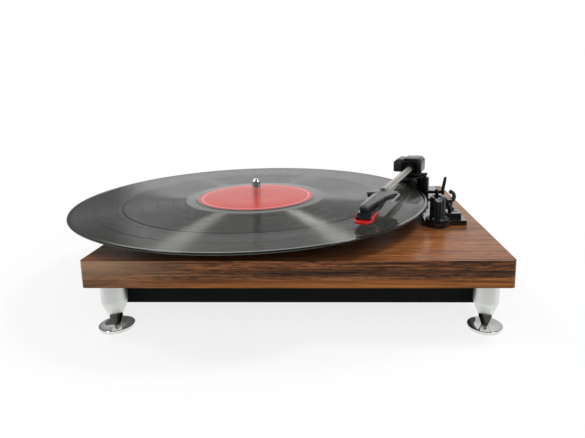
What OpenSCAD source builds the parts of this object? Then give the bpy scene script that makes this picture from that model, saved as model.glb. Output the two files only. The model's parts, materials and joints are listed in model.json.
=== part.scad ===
// Compact belt-driven record player: wooden plinth smaller than the disc it plays,
// black chassis tray beneath, chrome spike feet on pads, and a straight pivoted tonearm
// on a black base plate with its rest post, cue lever, switch and speed lever.
// Millimetres, +X right, +Y back, +Z up. The origin is the centre of the footprint,
// on the surface that the player stands on.

/* [Plinth and feet] */
// Plinth width, left to right
plinth_w = 285; // [278:0.5:330]
// Plinth depth, front to back
plinth_d = 234.5; // [226:0.5:280]
// Plinth thickness, board and veneer together
plinth_t = 18.6; // [16:0.2:28]
// Radius of the plinth's upright corners
plinth_corner_r = 3; // [1:0.5:8]
// Spindle axis from the plinth's left edge
spindle_from_left = 96.5; // [90:0.5:110]
// Spindle axis from the plinth's front edge
spindle_from_front = 122.7; // [118:0.1:140]
// Height of a foot with its pad, floor to plinth
foot_h = 35; // [31:0.5:50]
// Diameter of a foot's straight collar
foot_d = 17.2; // [14:0.2:22]
// Height of a foot's straight collar
foot_collar_h = 15; // [8:0.5:18]
// Diameter of a foot at the end of its cone
foot_tip_d = 4.6; // [4:0.2:9]
// Foot axis from the plinth's edges
foot_inset = 14.5; // [12:0.5:15]
// Diameter of a foot's threaded stud
stud_d = 6; // [4:0.5:8]
// Length of stud inside the plinth
stud_in_plinth = 10; // [6:0.5:14]
// Length of stud inside the foot
stud_in_foot = 6; // [4:0.5:9]
// Diameter of a spike pad across its flat top
pad_d = 24; // [18:0.2:28]
// Diameter of a spike pad where it stands
pad_base_d = 22.4; // [16:0.2:28]
// Thickness of a spike pad
pad_t = 2.6; // [2.2:0.1:4]
// Depth of the dimple that a foot's point stands in
pad_dimple_h = 1.4; // [1:0.1:1.8]

/* [Chassis tray] */
// Height of the tray below the plinth
tray_h = 22; // [20:0.5:26]
// Tray side walls from the plinth's left and right edges
tray_side = 17; // [15:0.5:30]
// Tray end walls from the plinth's front and back edges
tray_end = 25.5; // [25:0.5:32]
// Thickness of the tray's walls and floor
tray_wall = 1.6; // [1.2:0.1:3]
// Diameter of the tray's corner screw posts
tray_post_d = 9; // [7:0.5:12]
// Diameter of the tray screws' shanks
tray_screw_d = 3; // [2:0.5:4]
// Length of tray screw inside the plinth
tray_screw_grip = 8; // [5:0.5:12]
// Circuit board width
board_w = 84; // [60:1:90]
// Circuit board depth
board_d = 62; // [40:1:70]
// Circuit board thickness
board_t = 1.6; // [1:0.2:2.4]
// Height of the posts that carry the circuit board
board_post_h = 4; // [3:0.5:6]
// Diameter of the posts that carry the circuit board
board_post_d = 6; // [5:0.5:8]
// Diameter of the board screws' shanks
board_screw_d = 2.4; // [2:0.1:3]
// Board screw axis from the board's edges
board_screw_inset = 4.5; // [4:0.5:8]
// Left edge of the circuit board, right of the spindle
board_from_spindle = 38; // [34:1:60]
// Width of the jack plate on the tray's back
jack_plate_w = 74; // [66:1:90]
// Height of the jack plate
jack_plate_h = 16; // [15:0.5:18]
// Thickness of the jack plate
jack_plate_t = 1.4; // [1:0.1:2.5]
// Distance between neighbouring jacks
jack_pitch = 18; // [15:0.5:22]
// Outer diameter of a phono jack's shell
phono_d = 8.3; // [8.3:0.1:8.5]
// Length of a phono jack's shell
phono_l = 9; // [7:0.5:11]
// Outer diameter of the power jack's barrel
power_jack_d = 10; // [9:0.5:12]
// Length of the power jack's barrel outside the jack plate
power_jack_l = 2.5; // [1.5:0.5:5]

/* [Drive] */
// Gap between the plinth and the drive hub
hub_gap = 1.4; // [1:0.1:3]
// Diameter of the drive hub that the belt turns
hub_d = 110; // [90:1:116]
// Thickness of the drive hub
hub_t = 5; // [4.4:0.1:8]
// Room between the motor's mounting plate and the tray's walls
motor_room = 2; // [1:0.5:4]
// Diameter of the motor's can
motor_d = 32; // [24:1:36]
// Height of the motor's can
motor_h = 16; // [12:0.5:16]
// Width of the motor's mounting plate outside the can
motor_plate_rim = 7; // [7:0.5:9]
// Thickness of the motor's mounting plate
motor_plate_t = 2; // [1.5:0.1:2.2]
// Diameter of the motor's shaft
motor_shaft_d = 3; // [2:0.1:4]
// Length of the motor's shaft inside the can
motor_shaft_grip = 9; // [6:0.5:11]
// Diameter of the motor pulley
pulley_d = 16; // [10:0.5:20]
// Diameter of the plinth's hole round the motor shaft
motor_hole_d = 24; // [22:0.5:30]
// Diameter of the small screws for motor and bearing
mount_screw_d = 3; // [2:0.5:3.5]
// Length of a small screw inside the plinth
mount_screw_grip = 7; // [5:0.5:12]
// Thickness of the belt
belt_t = 0.8; // [0.6:0.1:1.4]
// Width of the belt
belt_h = 3; // [2:0.1:3.6]

/* [Bearing and platter] */
// Diameter of the spindle
spindle_d = 7.2; // [7:0.02:7.24]
// Height of the spindle above the disc
spindle_rise = 15.5; // [8:0.5:22]
// Outer diameter of the bearing housing
bearing_d = 18; // [16:0.5:24]
// Depth of the bearing housing below the plinth
bearing_drop = 14; // [10:0.5:16]
// Diameter of the bearing housing's flange
bearing_flange_d = 38; // [36:0.5:42]
// Thickness of the bearing housing's flange
bearing_flange_t = 2.5; // [1.5:0.1:4]
// Thickness of the bearing housing's closed end
bearing_end_t = 3; // [2:0.1:4]
// Outer diameter of the bearing bush
bush_d = 12; // [10:0.5:13]
// Diameter of the thrust ball under the spindle
ball_d = 5; // [3:0.5:6]
// Diameter of the platter
platter_d = 210; // [180:1:214]
// Thickness of the platter
platter_t = 5.2; // [4:0.1:9]
// Diameter of the slip mat
mat_d = 200; // [170:1:206]
// Thickness of the slip mat
mat_t = 2; // [1:0.1:4]

/* [Disc] */
// Diameter of the disc
record_d = 301; // [298:0.5:302]
// Thickness of the disc at its label and rim
record_t = 1.6; // [1.4:0.1:2.2]
// Depth of the grooved band below the label and rim
groove_dip = 0.3; // [0.1:0.05:0.5]
// Diameter where the grooved band starts, outside the label
groove_in_d = 104; // [102:0.5:118]
// Width of the raised rim
rim_w = 3.2; // [2:0.1:5]
// Diameter of the label
label_d = 100; // [90:0.5:101]
// Thickness of the label paper
label_t = 0.14; // [0.1:0.02:0.3]

/* [Tonearm] */
// Gap between the disc's edge and the turret that carries the arm
turret_gap = 3.5; // [2.5:0.1:6]
// Arm pivot, behind the spindle
pivot_y = 76; // [74:0.5:80]
// Height of the arm's axis above the disc
arm_rise = 13; // [12.5:0.1:16]
// How far the needle passes beyond the spindle
overhang = 15.7; // [10:0.1:18]
// Needle's distance from the spindle as the arm stands
play_radius = 133.3; // [120:0.1:146]
// Diameter of the arm tube
tube_d = 5.8; // [5:0.1:7]
// Wall of the arm tube
tube_wall = 0.7; // [0.4:0.1:1.5]
// Pivot block's reach to the left of the arm's axis
block_left = 17; // [15.5:0.5:18]
// Pivot block's reach to the right of the arm's axis
block_right = 11.5; // [11.5:0.5:14]
// Pivot block's reach in front of the pivot
block_front = 12; // [11:0.5:14]
// Pivot block's reach behind the pivot
block_back = 12; // [11:0.5:14]
// Top of the pivot block above the arm's axis
block_up = 10.4; // [9.8:0.1:13]
// Underside of the pivot block below the arm's axis
block_down = 3.6; // [3:0.1:4.4]
// Chamfer along the pivot block's top edges
block_chamfer = 3; // [2:0.5:4.5]
// Width of the boss that takes the tube
boss_w = 17; // [12:0.5:20]
// Length of the boss that takes the tube
boss_l = 3; // [2:0.5:6]
// Width of the swivel post inside the pivot block
stem_w = 12; // [9:0.5:13]
// Length of the swivel post along the arm
stem_l = 11; // [8:0.5:12]
// Top of the swivel post above the arm's axis
stem_up = 7; // [5:0.5:8]
// Room round the swivel post inside the pivot block
stem_room = 1.2; // [0.8:0.1:1.6]
// Diameter of the cross pin that the arm tilts on
pin_d = 3; // [2:0.1:3.4]
// Length of the cross pin
pin_l = 22; // [19:0.5:22.5]
// Diameter of the turret
turret_d = 28.6; // [24:0.2:30]
// Height of the turret
turret_h = 15.5; // [13:0.5:16]
// Diameter of the swivel shaft in the turret
swivel_d = 8; // [6:0.5:12]
// Diameter of the swivel's washer on the turret
washer_d = 22; // [16:0.5:26]
// Thickness of the swivel's washer
washer_t = 1.6; // [1:0.1:2]
// Diameter of the counterweight
weight_d = 17; // [12:0.5:20]
// Length of the counterweight
weight_l = 14; // [8:0.5:18]
// Diameter of the counterweight's stub
stub_d = 6; // [4:0.5:8]
// Gap between pivot block and counterweight
weight_gap = 3.5; // [3:0.5:6]

/* [Head] */
// Length of the headshell
shell_l = 60; // [54:0.5:61]
// Front of the headshell behind the needle
shell_set = 6; // [4:0.5:7]
// Width of the headshell across its rear wings
shell_w = 24; // [20:0.5:28]
// Width of the headshell ahead of its wings
shell_waist_w = 11; // [10.5:0.1:14]
// Width of the headshell at its front
shell_front_w = 8.8; // [7:0.1:12]
// Width of the headshell at its rear end
shell_rear_w = 9; // [8.6:0.1:12]
// Tip of the right wing ahead of the headshell's rear end
right_tip_set = 5.5; // [4:0.5:8]
// Length of the flare that runs from the waist to the right wing's tip
shell_flare_l = 20.5; // [14:0.5:24]
// Tip of the left wing ahead of the headshell's rear end
left_tip_set = 10.5; // [8:0.5:13]
// Length of the left wing's end
left_tip_l = 3.6; // [2:0.2:5]
// Depth of the headshell
shell_t = 5.2; // [4.6:0.1:5.4]
// Top of the headshell above the arm's axis
shell_up = 1.5; // [1:0.1:2.5]
// Diameter of the collar that holds the tube
collar_d = 7.2; // [7:0.1:7.3]
// Length of the collar behind the headshell
collar_l = 1; // [0.5:0.1:2]
// Length of tube inside the headshell
tube_in_shell = 7; // [5:0.5:7]
// Width of the cartridge
cartridge_w = 10.4; // [8:0.1:11]
// Length of the cartridge
cartridge_l = 24; // [20:0.5:28]
// Height of the cartridge below the headshell
cartridge_h = 4.3; // [3.5:0.1:4.5]
// Width of the needle guard
guard_w = 13.6; // [13.2:0.1:16]
// Length of the needle guard
guard_l = 23; // [20:0.5:26]
// Needle guard's reach in front of the needle
guard_nose = 4; // [2:0.1:6]
// Width of the needle guard at its nose
guard_nose_w = 8.4; // [6:0.1:12]
// Thickness of the needle guard's base
guard_t = 1.8; // [1.2:0.1:2]
// Height of the needle guard's cheeks above its base
guard_cheek_h = 2.6; // [1.5:0.1:3.4]
// Height of the needle's point above the disc as the arm stands
needle_clear = 0.4; // [0.3:0.05:1]
// Diameter of the cantilever that carries the needle
cantilever_d = 0.8; // [0.5:0.05:1]
// Length of the cantilever
cantilever_l = 7; // [5:0.5:9]
// Diameter of the finger lift's wire
finger_d = 1.4; // [1:0.1:2]
// Reach of the finger lift beyond the right wing
finger_reach = 1.4; // [1:0.1:4]
// Length of the finger lift along the headshell
finger_l = 26; // [16:0.5:28]

/* [Arm base] */
// Base plate's reach to the left of the pivot
plate_left = 9.2; // [8:0.1:14]
// Base plate's reach to the right of the pivot
plate_right = 26.8; // [26:0.1:32]
// Base plate's reach in front of the pivot
plate_front = 119.6; // [115:0.5:126]
// Base plate's reach behind the pivot
plate_back = 16.4; // [15.5:0.1:22]
// Thickness of the base plate
plate_t = 4; // [2:0.1:5]
// Radius of the base plate's corners
plate_corner_r = 1.2; // [0.5:0.1:3]
// Rest post from the pivot
post_reach = 118; // [112:0.5:122]
// Direction of the rest post from the pivot, counted from straight ahead towards the left
post_angle = -1.5; // [-4:0.5:0]
// Diameter of the rest post
post_d = 12.6; // [10:0.2:14]
// Diameter of the rest post's flange
post_flange_d = 19; // [16:0.5:20]
// Thickness of the rest post's flange
post_flange_t = 2; // [1:0.1:3]
// Gap between the rest post and the tube that passes above it
post_gap = 1.4; // [1.2:0.1:3]
// Width of the notch in the rest post
notch_w = 6.6; // [6:0.1:8]
// Depth of the notch in the rest post
notch_h = 3.2; // [2:0.1:5]
// Radius of the cue lifter's arc about the pivot
lifter_r = 19.8; // [19.6:0.1:22]
// Place of the lifter's guide on that arc, counted from straight ahead towards the right
guide_angle = 31; // [26:0.5:40]
// Width of the cue lifter's bar
lifter_w = 3.2; // [2:0.1:5]
// Height of the cue lifter's bar
lifter_h = 2.4; // [1.5:0.1:3]
// Gap between the lifter's bar and the tube
lifter_gap = 0.4; // [0.3:0.05:1]
// Diameter of the lifter's rod
lifter_rod_d = 4; // [3:0.1:5]
// Diameter of the lifter's guide
guide_d = 9; // [7:0.5:10]
// Height of the lifter's guide
guide_h = 16.4; // [12:0.2:17]
// Cue lever's shaft, right of the pivot
cue_right = 24.7; // [22:0.1:25]
// Cue lever's shaft, in front of the pivot
cue_front = 31; // [26:0.5:33]
// Diameter of the cue shaft
cue_shaft_d = 3; // [2:0.1:4]
// Height of the cue shaft above the base plate
cue_shaft_up = 4; // [3.6:0.1:6]
// Length of the cue lever
cue_l = 13.5; // [12:0.5:20]
// Width of the cue lever at its top
cue_w = 2.4; // [2:0.1:3]
// Lean of the cue lever to the right
cue_lean = 10; // [0:1:25]
// Width of the bracket that carries the cue shaft
bracket_w = 7; // [5:0.5:9]
// Width of the switch panel
switch_w = 11.5; // [10:0.5:14]
// Depth of the switch panel
switch_d = 14; // [12:0.5:20]
// Height of the switch panel
switch_h = 3.2; // [2.6:0.1:5]
// Switch panel from the base plate's right edge
switch_from_right = 2.1; // [0.8:0.1:3]
// Switch panel from the base plate's front edge
switch_from_front = 10.5; // [3:0.5:12]
// Diameter of the switch's peg
peg_d = 3.2; // [3:0.1:5]
// Height of the switch's peg
peg_h = 6; // [4:0.5:8]
// Travel of the switch's peg
peg_travel = 5; // [3:0.5:6]
// Speed lever's axis from the base plate's front edge
speed_from_front = 54; // [44:0.5:60]
// Outer radius of the speed lever's hook
hook_r = 6.2; // [5.6:0.1:9]
// Thickness of the speed lever's hook
hook_t = 3.2; // [2.5:0.1:3.4]
// Diameter of the speed lever's finger nub
nub_d = 3.9; // [3.6:0.1:5]

/* [Clearances] */
// Radial clearance of a turning or sliding fit
run_fit = 0.05; // [0.02:0.01:0.09]
// Clearance between pieces that are fixed together
seat = 0.02; // [0.01:0.01:0.05]
// Gap between the belt and what it turns
belt_gap = 0.3; // [0.2:0.05:0.5]
// Gap between the spindle's foot and the thrust ball
ball_gap = 0.3; // [0.1:0.05:0.5]

/* [Hidden] */
$fn = 72;
// Overrun that takes a cut clear through a face
cut = 1;

record_r = record_d / 2;

// Footprint about the spindle, which puts the origin at the footprint's centre
left_reach = max(record_r, spindle_from_left);
right_reach = max(record_r, plinth_w - spindle_from_left);
front_reach = max(record_r, spindle_from_front);
back_reach = max(record_r, plinth_d - spindle_from_front);
spindle_x = (left_reach - right_reach) / 2;
spindle_y = (front_reach - back_reach) / 2;

// Levels, counted up from the floor
plinth_top = foot_h + plinth_t;
hub_z = plinth_top + hub_gap;
platter_z = hub_z + hub_t;
mat_z = platter_z + platter_t;
record_z = mat_z + mat_t;
record_top = record_z + record_t;
groove_top = record_top - groove_dip;
arm_z = groove_top + arm_rise;
plate_top = plinth_top + plate_t;
tray_z = foot_h - tray_h;
tray_floor = tray_z + tray_wall;

// Plinth edges about the spindle
plinth_x0 = -spindle_from_left;
plinth_y0 = -spindle_from_front;

// Feet, stepped in from the plinth's corners
foot_left_x = plinth_x0 + foot_inset;
foot_right_x = plinth_x0 + plinth_w - foot_inset;
foot_front_y = plinth_y0 + foot_inset;
foot_rear_y = plinth_y0 + plinth_d - foot_inset;
FEET = [for (x = [foot_left_x, foot_right_x], y = [foot_front_y, foot_rear_y]) [x, y]];
pad_dimple_z = pad_t - pad_dimple_h;
pad_dimple_r = foot_tip_d / 2;
pad_dimple_end_r = pad_dimple_r / 4;

// Tray and what it carries
tray_w = plinth_w - 2 * tray_side;
tray_d = plinth_d - 2 * tray_end;
tray_x0 = plinth_x0 + tray_side;
tray_y0 = plinth_y0 + tray_end;
tray_post_inset = (tray_wall + tray_post_d) / 2;
TRAY_POSTS = [
    for (x = [tray_x0 + tray_post_inset, tray_x0 + tray_w - tray_post_inset],
         y = [tray_y0 + tray_post_inset, tray_y0 + tray_d - tray_post_inset]) [x, y]
];
screw_head_ratio = 2;
screw_head_t = 1.8;
board_x0 = board_from_spindle;
board_y0 = -board_d / 2;
board_z = tray_floor + board_post_h;
BOARD_SCREWS = [
    for (x = [board_screw_inset, board_w - board_screw_inset],
         y = [board_screw_inset, board_d - board_screw_inset]) [board_x0 + x, board_y0 + y]
];
chip_w = 12;
chip_h = 1.6;
coil_w = 10;
coil_h = 4.2;
capacitor_d = 6.3;
capacitor_h = 7.2;
jack_x = tray_x0 + tray_w / 2;
jack_y = tray_y0 + tray_d;
jack_z = tray_z + tray_h / 2;
jack_flange_t = 1;
jack_flange_w = 1.5;
jack_body_l = 6;
jack_body_wall = 0.7;
phono_flange_d = phono_d + 2 * jack_flange_w;
phono_body_d = phono_d + 2 * jack_body_wall;
phono_socket_d = 3.4;
power_socket_d = 5.6;
power_socket_z = -jack_body_l / 2;
power_pin_d = 2;
power_pin_root = 1.5;

// Drive
motor_plate_d = motor_d + 2 * motor_plate_rim;
motor_inset = tray_wall + motor_room + motor_plate_d / 2;
motor_x = tray_x0 + motor_inset;
motor_y = tray_y0 + tray_d - motor_inset;
motor_top = foot_h - motor_plate_t;
shaft_room = 1;
pulley_room = 1;
pulley_z = plinth_top + pulley_room;
pulley_h = platter_z - pulley_room - pulley_z;
belt_z = hub_z + (hub_t - belt_h) / 2;
motor_screw_r = (motor_d + motor_plate_rim) / 2;
bearing_screw_r = (bearing_d + bearing_flange_d) / 4;
MOUNT_SCREW_ANGLES = [30, 150, 270];

// Bearing
bearing_z = foot_h - bearing_drop;
bearing_top = plinth_top + hub_gap / 3;
ball_z = bearing_z + bearing_end_t;
spindle_z = ball_z + seat + ball_d + ball_gap;
spindle_tip_h = 1.6;
relief_h = 0.5;
relief_depth = 0.2;
spindle_top = record_top + spindle_rise;
spindle_hole_r = spindle_d / 2 + seat;

// Tonearm: the pivot, the needle on its circle and the angle between them
pivot_dist = record_r + turret_gap + turret_d / 2;
pivot_x = sqrt(pivot_dist ^ 2 - pivot_y ^ 2);
arm_l = pivot_dist + overhang;
arm_turn = acos((pivot_dist ^ 2 + arm_l ^ 2 - play_radius ^ 2) / (2 * pivot_dist * arm_l));
arm_angle = atan2(pivot_x, pivot_y) - arm_turn;
block_z = arm_z - block_down;
block_top = arm_z + block_up;
turret_top = plate_top + turret_h;
washer_gap = 0.4;
washer_z = turret_top + washer_gap;
swivel_shaft_z = plate_top + washer_gap;
pocket_w = stem_w + 2 * stem_room;
pocket_l = stem_l + 2 * stem_room;
pocket_top = arm_z + stem_up + stem_room;
tube_socket = 4;
tube_back_y = -(block_front + boss_l - tube_socket);
stub_end = 1.5;
stub_l = weight_gap + weight_l + stub_end;
stub_socket = 3;
wire_hole_d = 6;
flute_w = 1.2;
flute_depth = 0.8;

// Head, placed about the needle's point in the arm's own frame
shell_top = arm_z + shell_up;
shell_z = shell_top - shell_t;
cartridge_z = shell_z - cartridge_h;
guard_top = cartridge_z - seat;
guard_z = guard_top - guard_t;
needle_z = groove_top + needle_clear;
shell_back_y = shell_set + shell_l;
tube_front_y = -arm_l + shell_back_y - tube_in_shell;
cartridge_set = 1;
guard_slope_l = 5;
cheek_w = (guard_w - cartridge_w) / 2 - seat;
cantilever_drop = guard_z - needle_z - cantilever_d;
cantilever_run = norm([cantilever_l, cantilever_drop]);
right_tip_y = shell_back_y - right_tip_set;
left_tip_y = shell_back_y - left_tip_set;
notch_slope = 1;
finger_root_set = 2.5;
finger_y = right_tip_y - finger_root_set;
finger_root_x = shell_rear_w / 2;
finger_x = shell_w / 2 + finger_reach;
finger_z = shell_z + shell_t / 2;

// Arm base
post_x = -post_reach * sin(post_angle);
post_y = -post_reach * cos(post_angle);
post_top = arm_z - tube_d / 2 - post_gap;
lobe_rim = 0.8;
plate_lobe_d = post_flange_d + 2 * lobe_rim;
lifter_top = arm_z - tube_d / 2 - lifter_gap;
lifter_z = lifter_top - lifter_h;
lifter_start = -38;
lifter_sweep = 82;
guide_x = lifter_r * sin(guide_angle);
guide_y = -lifter_r * cos(guide_angle);
guide_top = plate_top + guide_h;
lifter_room = 1;
lifter_rod_z = plate_top + lifter_room;
cue_z = plate_top + cue_shaft_up;
cue_shaft_l = cue_right - guide_x;
bracket_from_lever = 1.2;
bracket_wall = 1.5;
bracket_d = cue_shaft_d + 2 * bracket_wall;
cue_hub_wall = 1.3;
cue_hub_d = cue_shaft_d + 2 * cue_hub_wall;
cue_hub_l = 2.6;
cue_root_w = 3;
cue_root_up = cue_shaft_d / 2 + 0.4;
switch_x = plate_right - switch_from_right - switch_w;
switch_y = -plate_front + switch_from_front;
peg_side = (switch_w - peg_travel) / 2;
peg_shoulder = 0.5;
peg_neck_d = peg_d - 2 * peg_shoulder;
peg_neck_l = 2;
peg_float = 0.2;
peg_slot_r = peg_neck_d / 2 + run_fit;
speed_from_right = 2.6;
speed_x = plate_right - speed_from_right;
speed_y = -plate_front + speed_from_front;
speed_pin_d = 2.4;
speed_pin_up = 2.8;
speed_ear_w = 2;
speed_ear_gap = 0.3;
speed_z = plate_top + speed_pin_up;
hook_mean_r = hook_r - hook_t / 2;
hook_start = -78;
hook_sweep = 150;

// Frames
module at_spindle(z = 0) translate([spindle_x, spindle_y, z]) children();
module at_motor(z = 0) at_spindle(z) translate([motor_x, motor_y, 0]) children();
module at_pivot(z = 0) at_spindle(z) translate([pivot_x, pivot_y, 0]) children();
module in_arm(z = 0) at_pivot(z) rotate([0, 0, -arm_angle]) children();
module in_head(z = 0) in_arm(z) translate([0, -arm_l, 0]) children();
module at_jack(side = 0) at_spindle(jack_z)
    translate([jack_x + side * jack_pitch, jack_y, 0]) rotate([-90, 0, 0]) children();

// Shapes that repeat
module slab(w, d, t, r) linear_extrude(t) {
    translate([r, 0]) square([w - 2 * r, d]);
    translate([0, r]) square([w, d - 2 * r]);
    for (x = [r, w - r], y = [r, d - r]) translate([x, y]) circle(r);
}

module hole(d, z0, z1) translate([0, 0, z0]) cylinder(d = d, h = z1 - z0);

module screw(d, z0, z1) {
    translate([0, 0, z0]) cylinder(d = d, h = z1 - z0);
    translate([0, 0, z0 - screw_head_t]) cylinder(d = d * screw_head_ratio, h = screw_head_t);
}

module mount_screw_places() {
    for (a = MOUNT_SCREW_ANGLES) {
        at_spindle() rotate([0, 0, a]) translate([bearing_screw_r, 0, 0])
            children(0);
        at_motor() rotate([0, 0, a]) translate([motor_screw_r, 0, 0])
            children(1);
    }
}

// Plinth: one veneered board, drilled for the bearing, motor, feet and screws
module plinth() color("saddlebrown") difference() {
    at_spindle(foot_h) translate([plinth_x0, plinth_y0, 0])
        slab(plinth_w, plinth_d, plinth_t, plinth_corner_r);
    at_spindle() hole(bearing_d + 2 * seat, foot_h - cut, plinth_top + cut);
    at_motor() hole(motor_hole_d, foot_h - cut, plinth_top + cut);
    at_pivot() hole(wire_hole_d, foot_h - cut, plinth_top + cut);
    for (p = FEET) at_spindle() translate(p)
        hole(stud_d + 2 * seat, foot_h - cut, foot_h + stud_in_plinth + seat);
    for (p = TRAY_POSTS) at_spindle() translate(p)
        hole(tray_screw_d + 2 * seat, foot_h - cut, foot_h + tray_screw_grip + seat);
    mount_screw_places() {
        hole(mount_screw_d + 2 * seat, foot_h - cut, foot_h + mount_screw_grip + seat);
        hole(mount_screw_d + 2 * seat, foot_h - cut, foot_h + mount_screw_grip + seat);
    }
}

// Tray: thin black box under the plinth with screw posts, board posts and jack holes
module chassis_tray() color("#1b1b1c") difference() {
    union() {
        difference() {
            at_spindle(tray_z) translate([tray_x0, tray_y0, 0]) cube([tray_w, tray_d, tray_h]);
            at_spindle(tray_floor) translate([tray_x0 + tray_wall, tray_y0 + tray_wall, 0])
                cube([tray_w - 2 * tray_wall, tray_d - 2 * tray_wall, tray_h]);
        }
        for (p = TRAY_POSTS) at_spindle(tray_z + tray_wall / 2) translate(p)
            cylinder(d = tray_post_d, h = tray_h - tray_wall / 2);
        for (p = BOARD_SCREWS) at_spindle(tray_z + tray_wall / 2) translate(p)
            cylinder(d = board_post_d, h = tray_wall / 2 + board_post_h);
    }
    for (p = TRAY_POSTS) at_spindle() translate(p)
        hole(tray_screw_d + 2 * seat, tray_z - cut, foot_h + cut);
    for (p = BOARD_SCREWS) at_spindle() translate(p)
        hole(board_screw_d + 2 * seat, tray_floor, board_z + cut);
    for (side = [0, 1]) at_jack(side) hole(phono_body_d + 2 * seat, -tray_wall - cut, cut);
    at_jack(-1) hole(power_jack_d + 2 * seat, -tray_wall - cut, cut);
}

module tray_screws() color("#303032") for (p = TRAY_POSTS) at_spindle() translate(p)
    screw(tray_screw_d, tray_z, foot_h + tray_screw_grip);

// Circuit board with its chip, its shielded coil and a row of capacitors
module circuit_board() color("darkgreen") difference() {
    at_spindle(board_z) translate([board_x0, board_y0, 0]) {
        cube([board_w, board_d, board_t]);
        translate([board_w / 4 - chip_w / 2, board_d / 3 - chip_w / 2, board_t / 2])
            cube([chip_w, chip_w, board_t / 2 + chip_h]);
        translate([board_w * 3 / 4 - coil_w / 2, board_d / 3 - coil_w / 2, board_t / 2])
            cube([coil_w, coil_w, board_t / 2 + coil_h]);
        for (i = [1:3]) translate([board_w * i / 4, board_d * 2 / 3, board_t / 2])
            cylinder(d = capacitor_d, h = board_t / 2 + capacitor_h);
    }
    for (p = BOARD_SCREWS) at_spindle() translate(p)
        hole(board_screw_d + 2 * seat, board_z - cut, board_z + board_t + cut);
}

module board_screws() color("silver") for (p = BOARD_SCREWS)
    at_spindle(board_z + board_t) translate(p) mirror([0, 0, 1])
        screw(board_screw_d, 0, board_t + board_post_h - seat);

module jack_plate() color("#262628") difference() {
    at_jack() translate([-jack_plate_w / 2, -jack_plate_h / 2, 0])
        cube([jack_plate_w, jack_plate_h, jack_plate_t]);
    for (side = [0, 1]) at_jack(side) hole(phono_body_d + 2 * seat, -cut, jack_plate_t + cut);
    at_jack(-1) hole(power_jack_d + 2 * seat, -cut, jack_plate_t + cut);
}

// Phono jacks: a pair of shells, each with its flange, its body inside and its socket
module phono_jacks() color("gold") for (side = [0, 1]) at_jack(side) difference() {
    union() {
        hole(phono_body_d, -jack_body_l, jack_plate_t);
        hole(phono_flange_d, jack_plate_t, jack_plate_t + jack_flange_t);
        hole(phono_d, jack_plate_t, jack_plate_t + jack_flange_t + phono_l);
    }
    hole(phono_socket_d, jack_plate_t, jack_plate_t + jack_flange_t + phono_l + cut);
}

module power_jack() color("#141414") at_jack(-1) {
    difference() {
        hole(power_jack_d, -jack_body_l, jack_plate_t + power_jack_l);
        hole(power_socket_d, power_socket_z, jack_plate_t + power_jack_l + cut);
    }
    hole(power_pin_d, power_socket_z - power_pin_root, jack_plate_t + power_jack_l / 2);
}

// Foot: straight collar, cone and a short point that stands in the pad's dimple
module foot(p) color("silver") at_spindle() translate(p) difference() {
    union() {
        hole(foot_d, foot_h - foot_collar_h, foot_h);
        translate([0, 0, pad_t]) cylinder(
            d1 = foot_tip_d - 4 * seat, d2 = foot_d, h = foot_h - foot_collar_h - pad_t);
        translate([0, 0, pad_dimple_z + 2 * seat]) cylinder(
            r1 = pad_dimple_end_r - seat, r2 = pad_dimple_r - 2 * seat, h = pad_dimple_h - 2 * seat);
    }
    hole(stud_d + 2 * seat, foot_h - stud_in_foot - seat, foot_h + cut);
}

// Pad: a flat disc that narrows to its base, with a dimple for the foot's point
module foot_pad(p) color("gainsboro") at_spindle() translate(p) difference() {
    cylinder(d1 = pad_base_d, d2 = pad_d, h = pad_t);
    translate([0, 0, pad_dimple_z])
        cylinder(r1 = pad_dimple_end_r, r2 = pad_dimple_r, h = pad_dimple_h);
}

module foot_studs() color("gray") for (p = FEET) at_spindle() translate(p)
    hole(stud_d, foot_h - stud_in_foot, foot_h + stud_in_plinth);

module front_left_foot() foot([foot_left_x, foot_front_y]);
module front_right_foot() foot([foot_right_x, foot_front_y]);
module rear_left_foot() foot([foot_left_x, foot_rear_y]);
module rear_right_foot() foot([foot_right_x, foot_rear_y]);
module front_left_pad() foot_pad([foot_left_x, foot_front_y]);
module front_right_pad() foot_pad([foot_right_x, foot_front_y]);
module rear_left_pad() foot_pad([foot_left_x, foot_rear_y]);
module rear_right_pad() foot_pad([foot_right_x, foot_rear_y]);

// Drive: motor hung under the plinth, pulley, belt and the hub that the belt turns
module motor_plate() color("dimgray") difference() {
    at_motor() hole(motor_plate_d, motor_top, foot_h);
    at_motor() hole(motor_shaft_d + 2 * shaft_room, motor_top - cut, foot_h + cut);
    for (a = MOUNT_SCREW_ANGLES) at_motor() rotate([0, 0, a]) translate([motor_screw_r, 0, 0])
        hole(mount_screw_d + 2 * seat, motor_top - cut, foot_h + cut);
}

module motor_can() color("gray") at_motor() difference() {
    hole(motor_d, motor_top - motor_h, motor_top);
    hole(motor_shaft_d + 2 * run_fit, motor_top - motor_shaft_grip - shaft_room, motor_top + cut);
}

module motor_shaft() color("silver") at_motor()
    hole(motor_shaft_d, motor_top - motor_shaft_grip, pulley_z + pulley_h);

module motor_pulley() color("goldenrod") at_motor() difference() {
    hole(pulley_d, pulley_z, pulley_z + pulley_h);
    hole(motor_shaft_d + 2 * seat, pulley_z - cut, pulley_z + pulley_h + cut);
}

module belt_loop(grow) hull() {
    circle(d = hub_d + 2 * grow, $fn = 120);
    translate([motor_x, motor_y]) circle(d = pulley_d + 2 * grow, $fn = 48);
}

module drive_belt() color("#202020") at_spindle(belt_z) linear_extrude(belt_h) difference() {
    belt_loop(belt_gap + belt_t);
    belt_loop(belt_gap);
}

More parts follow.
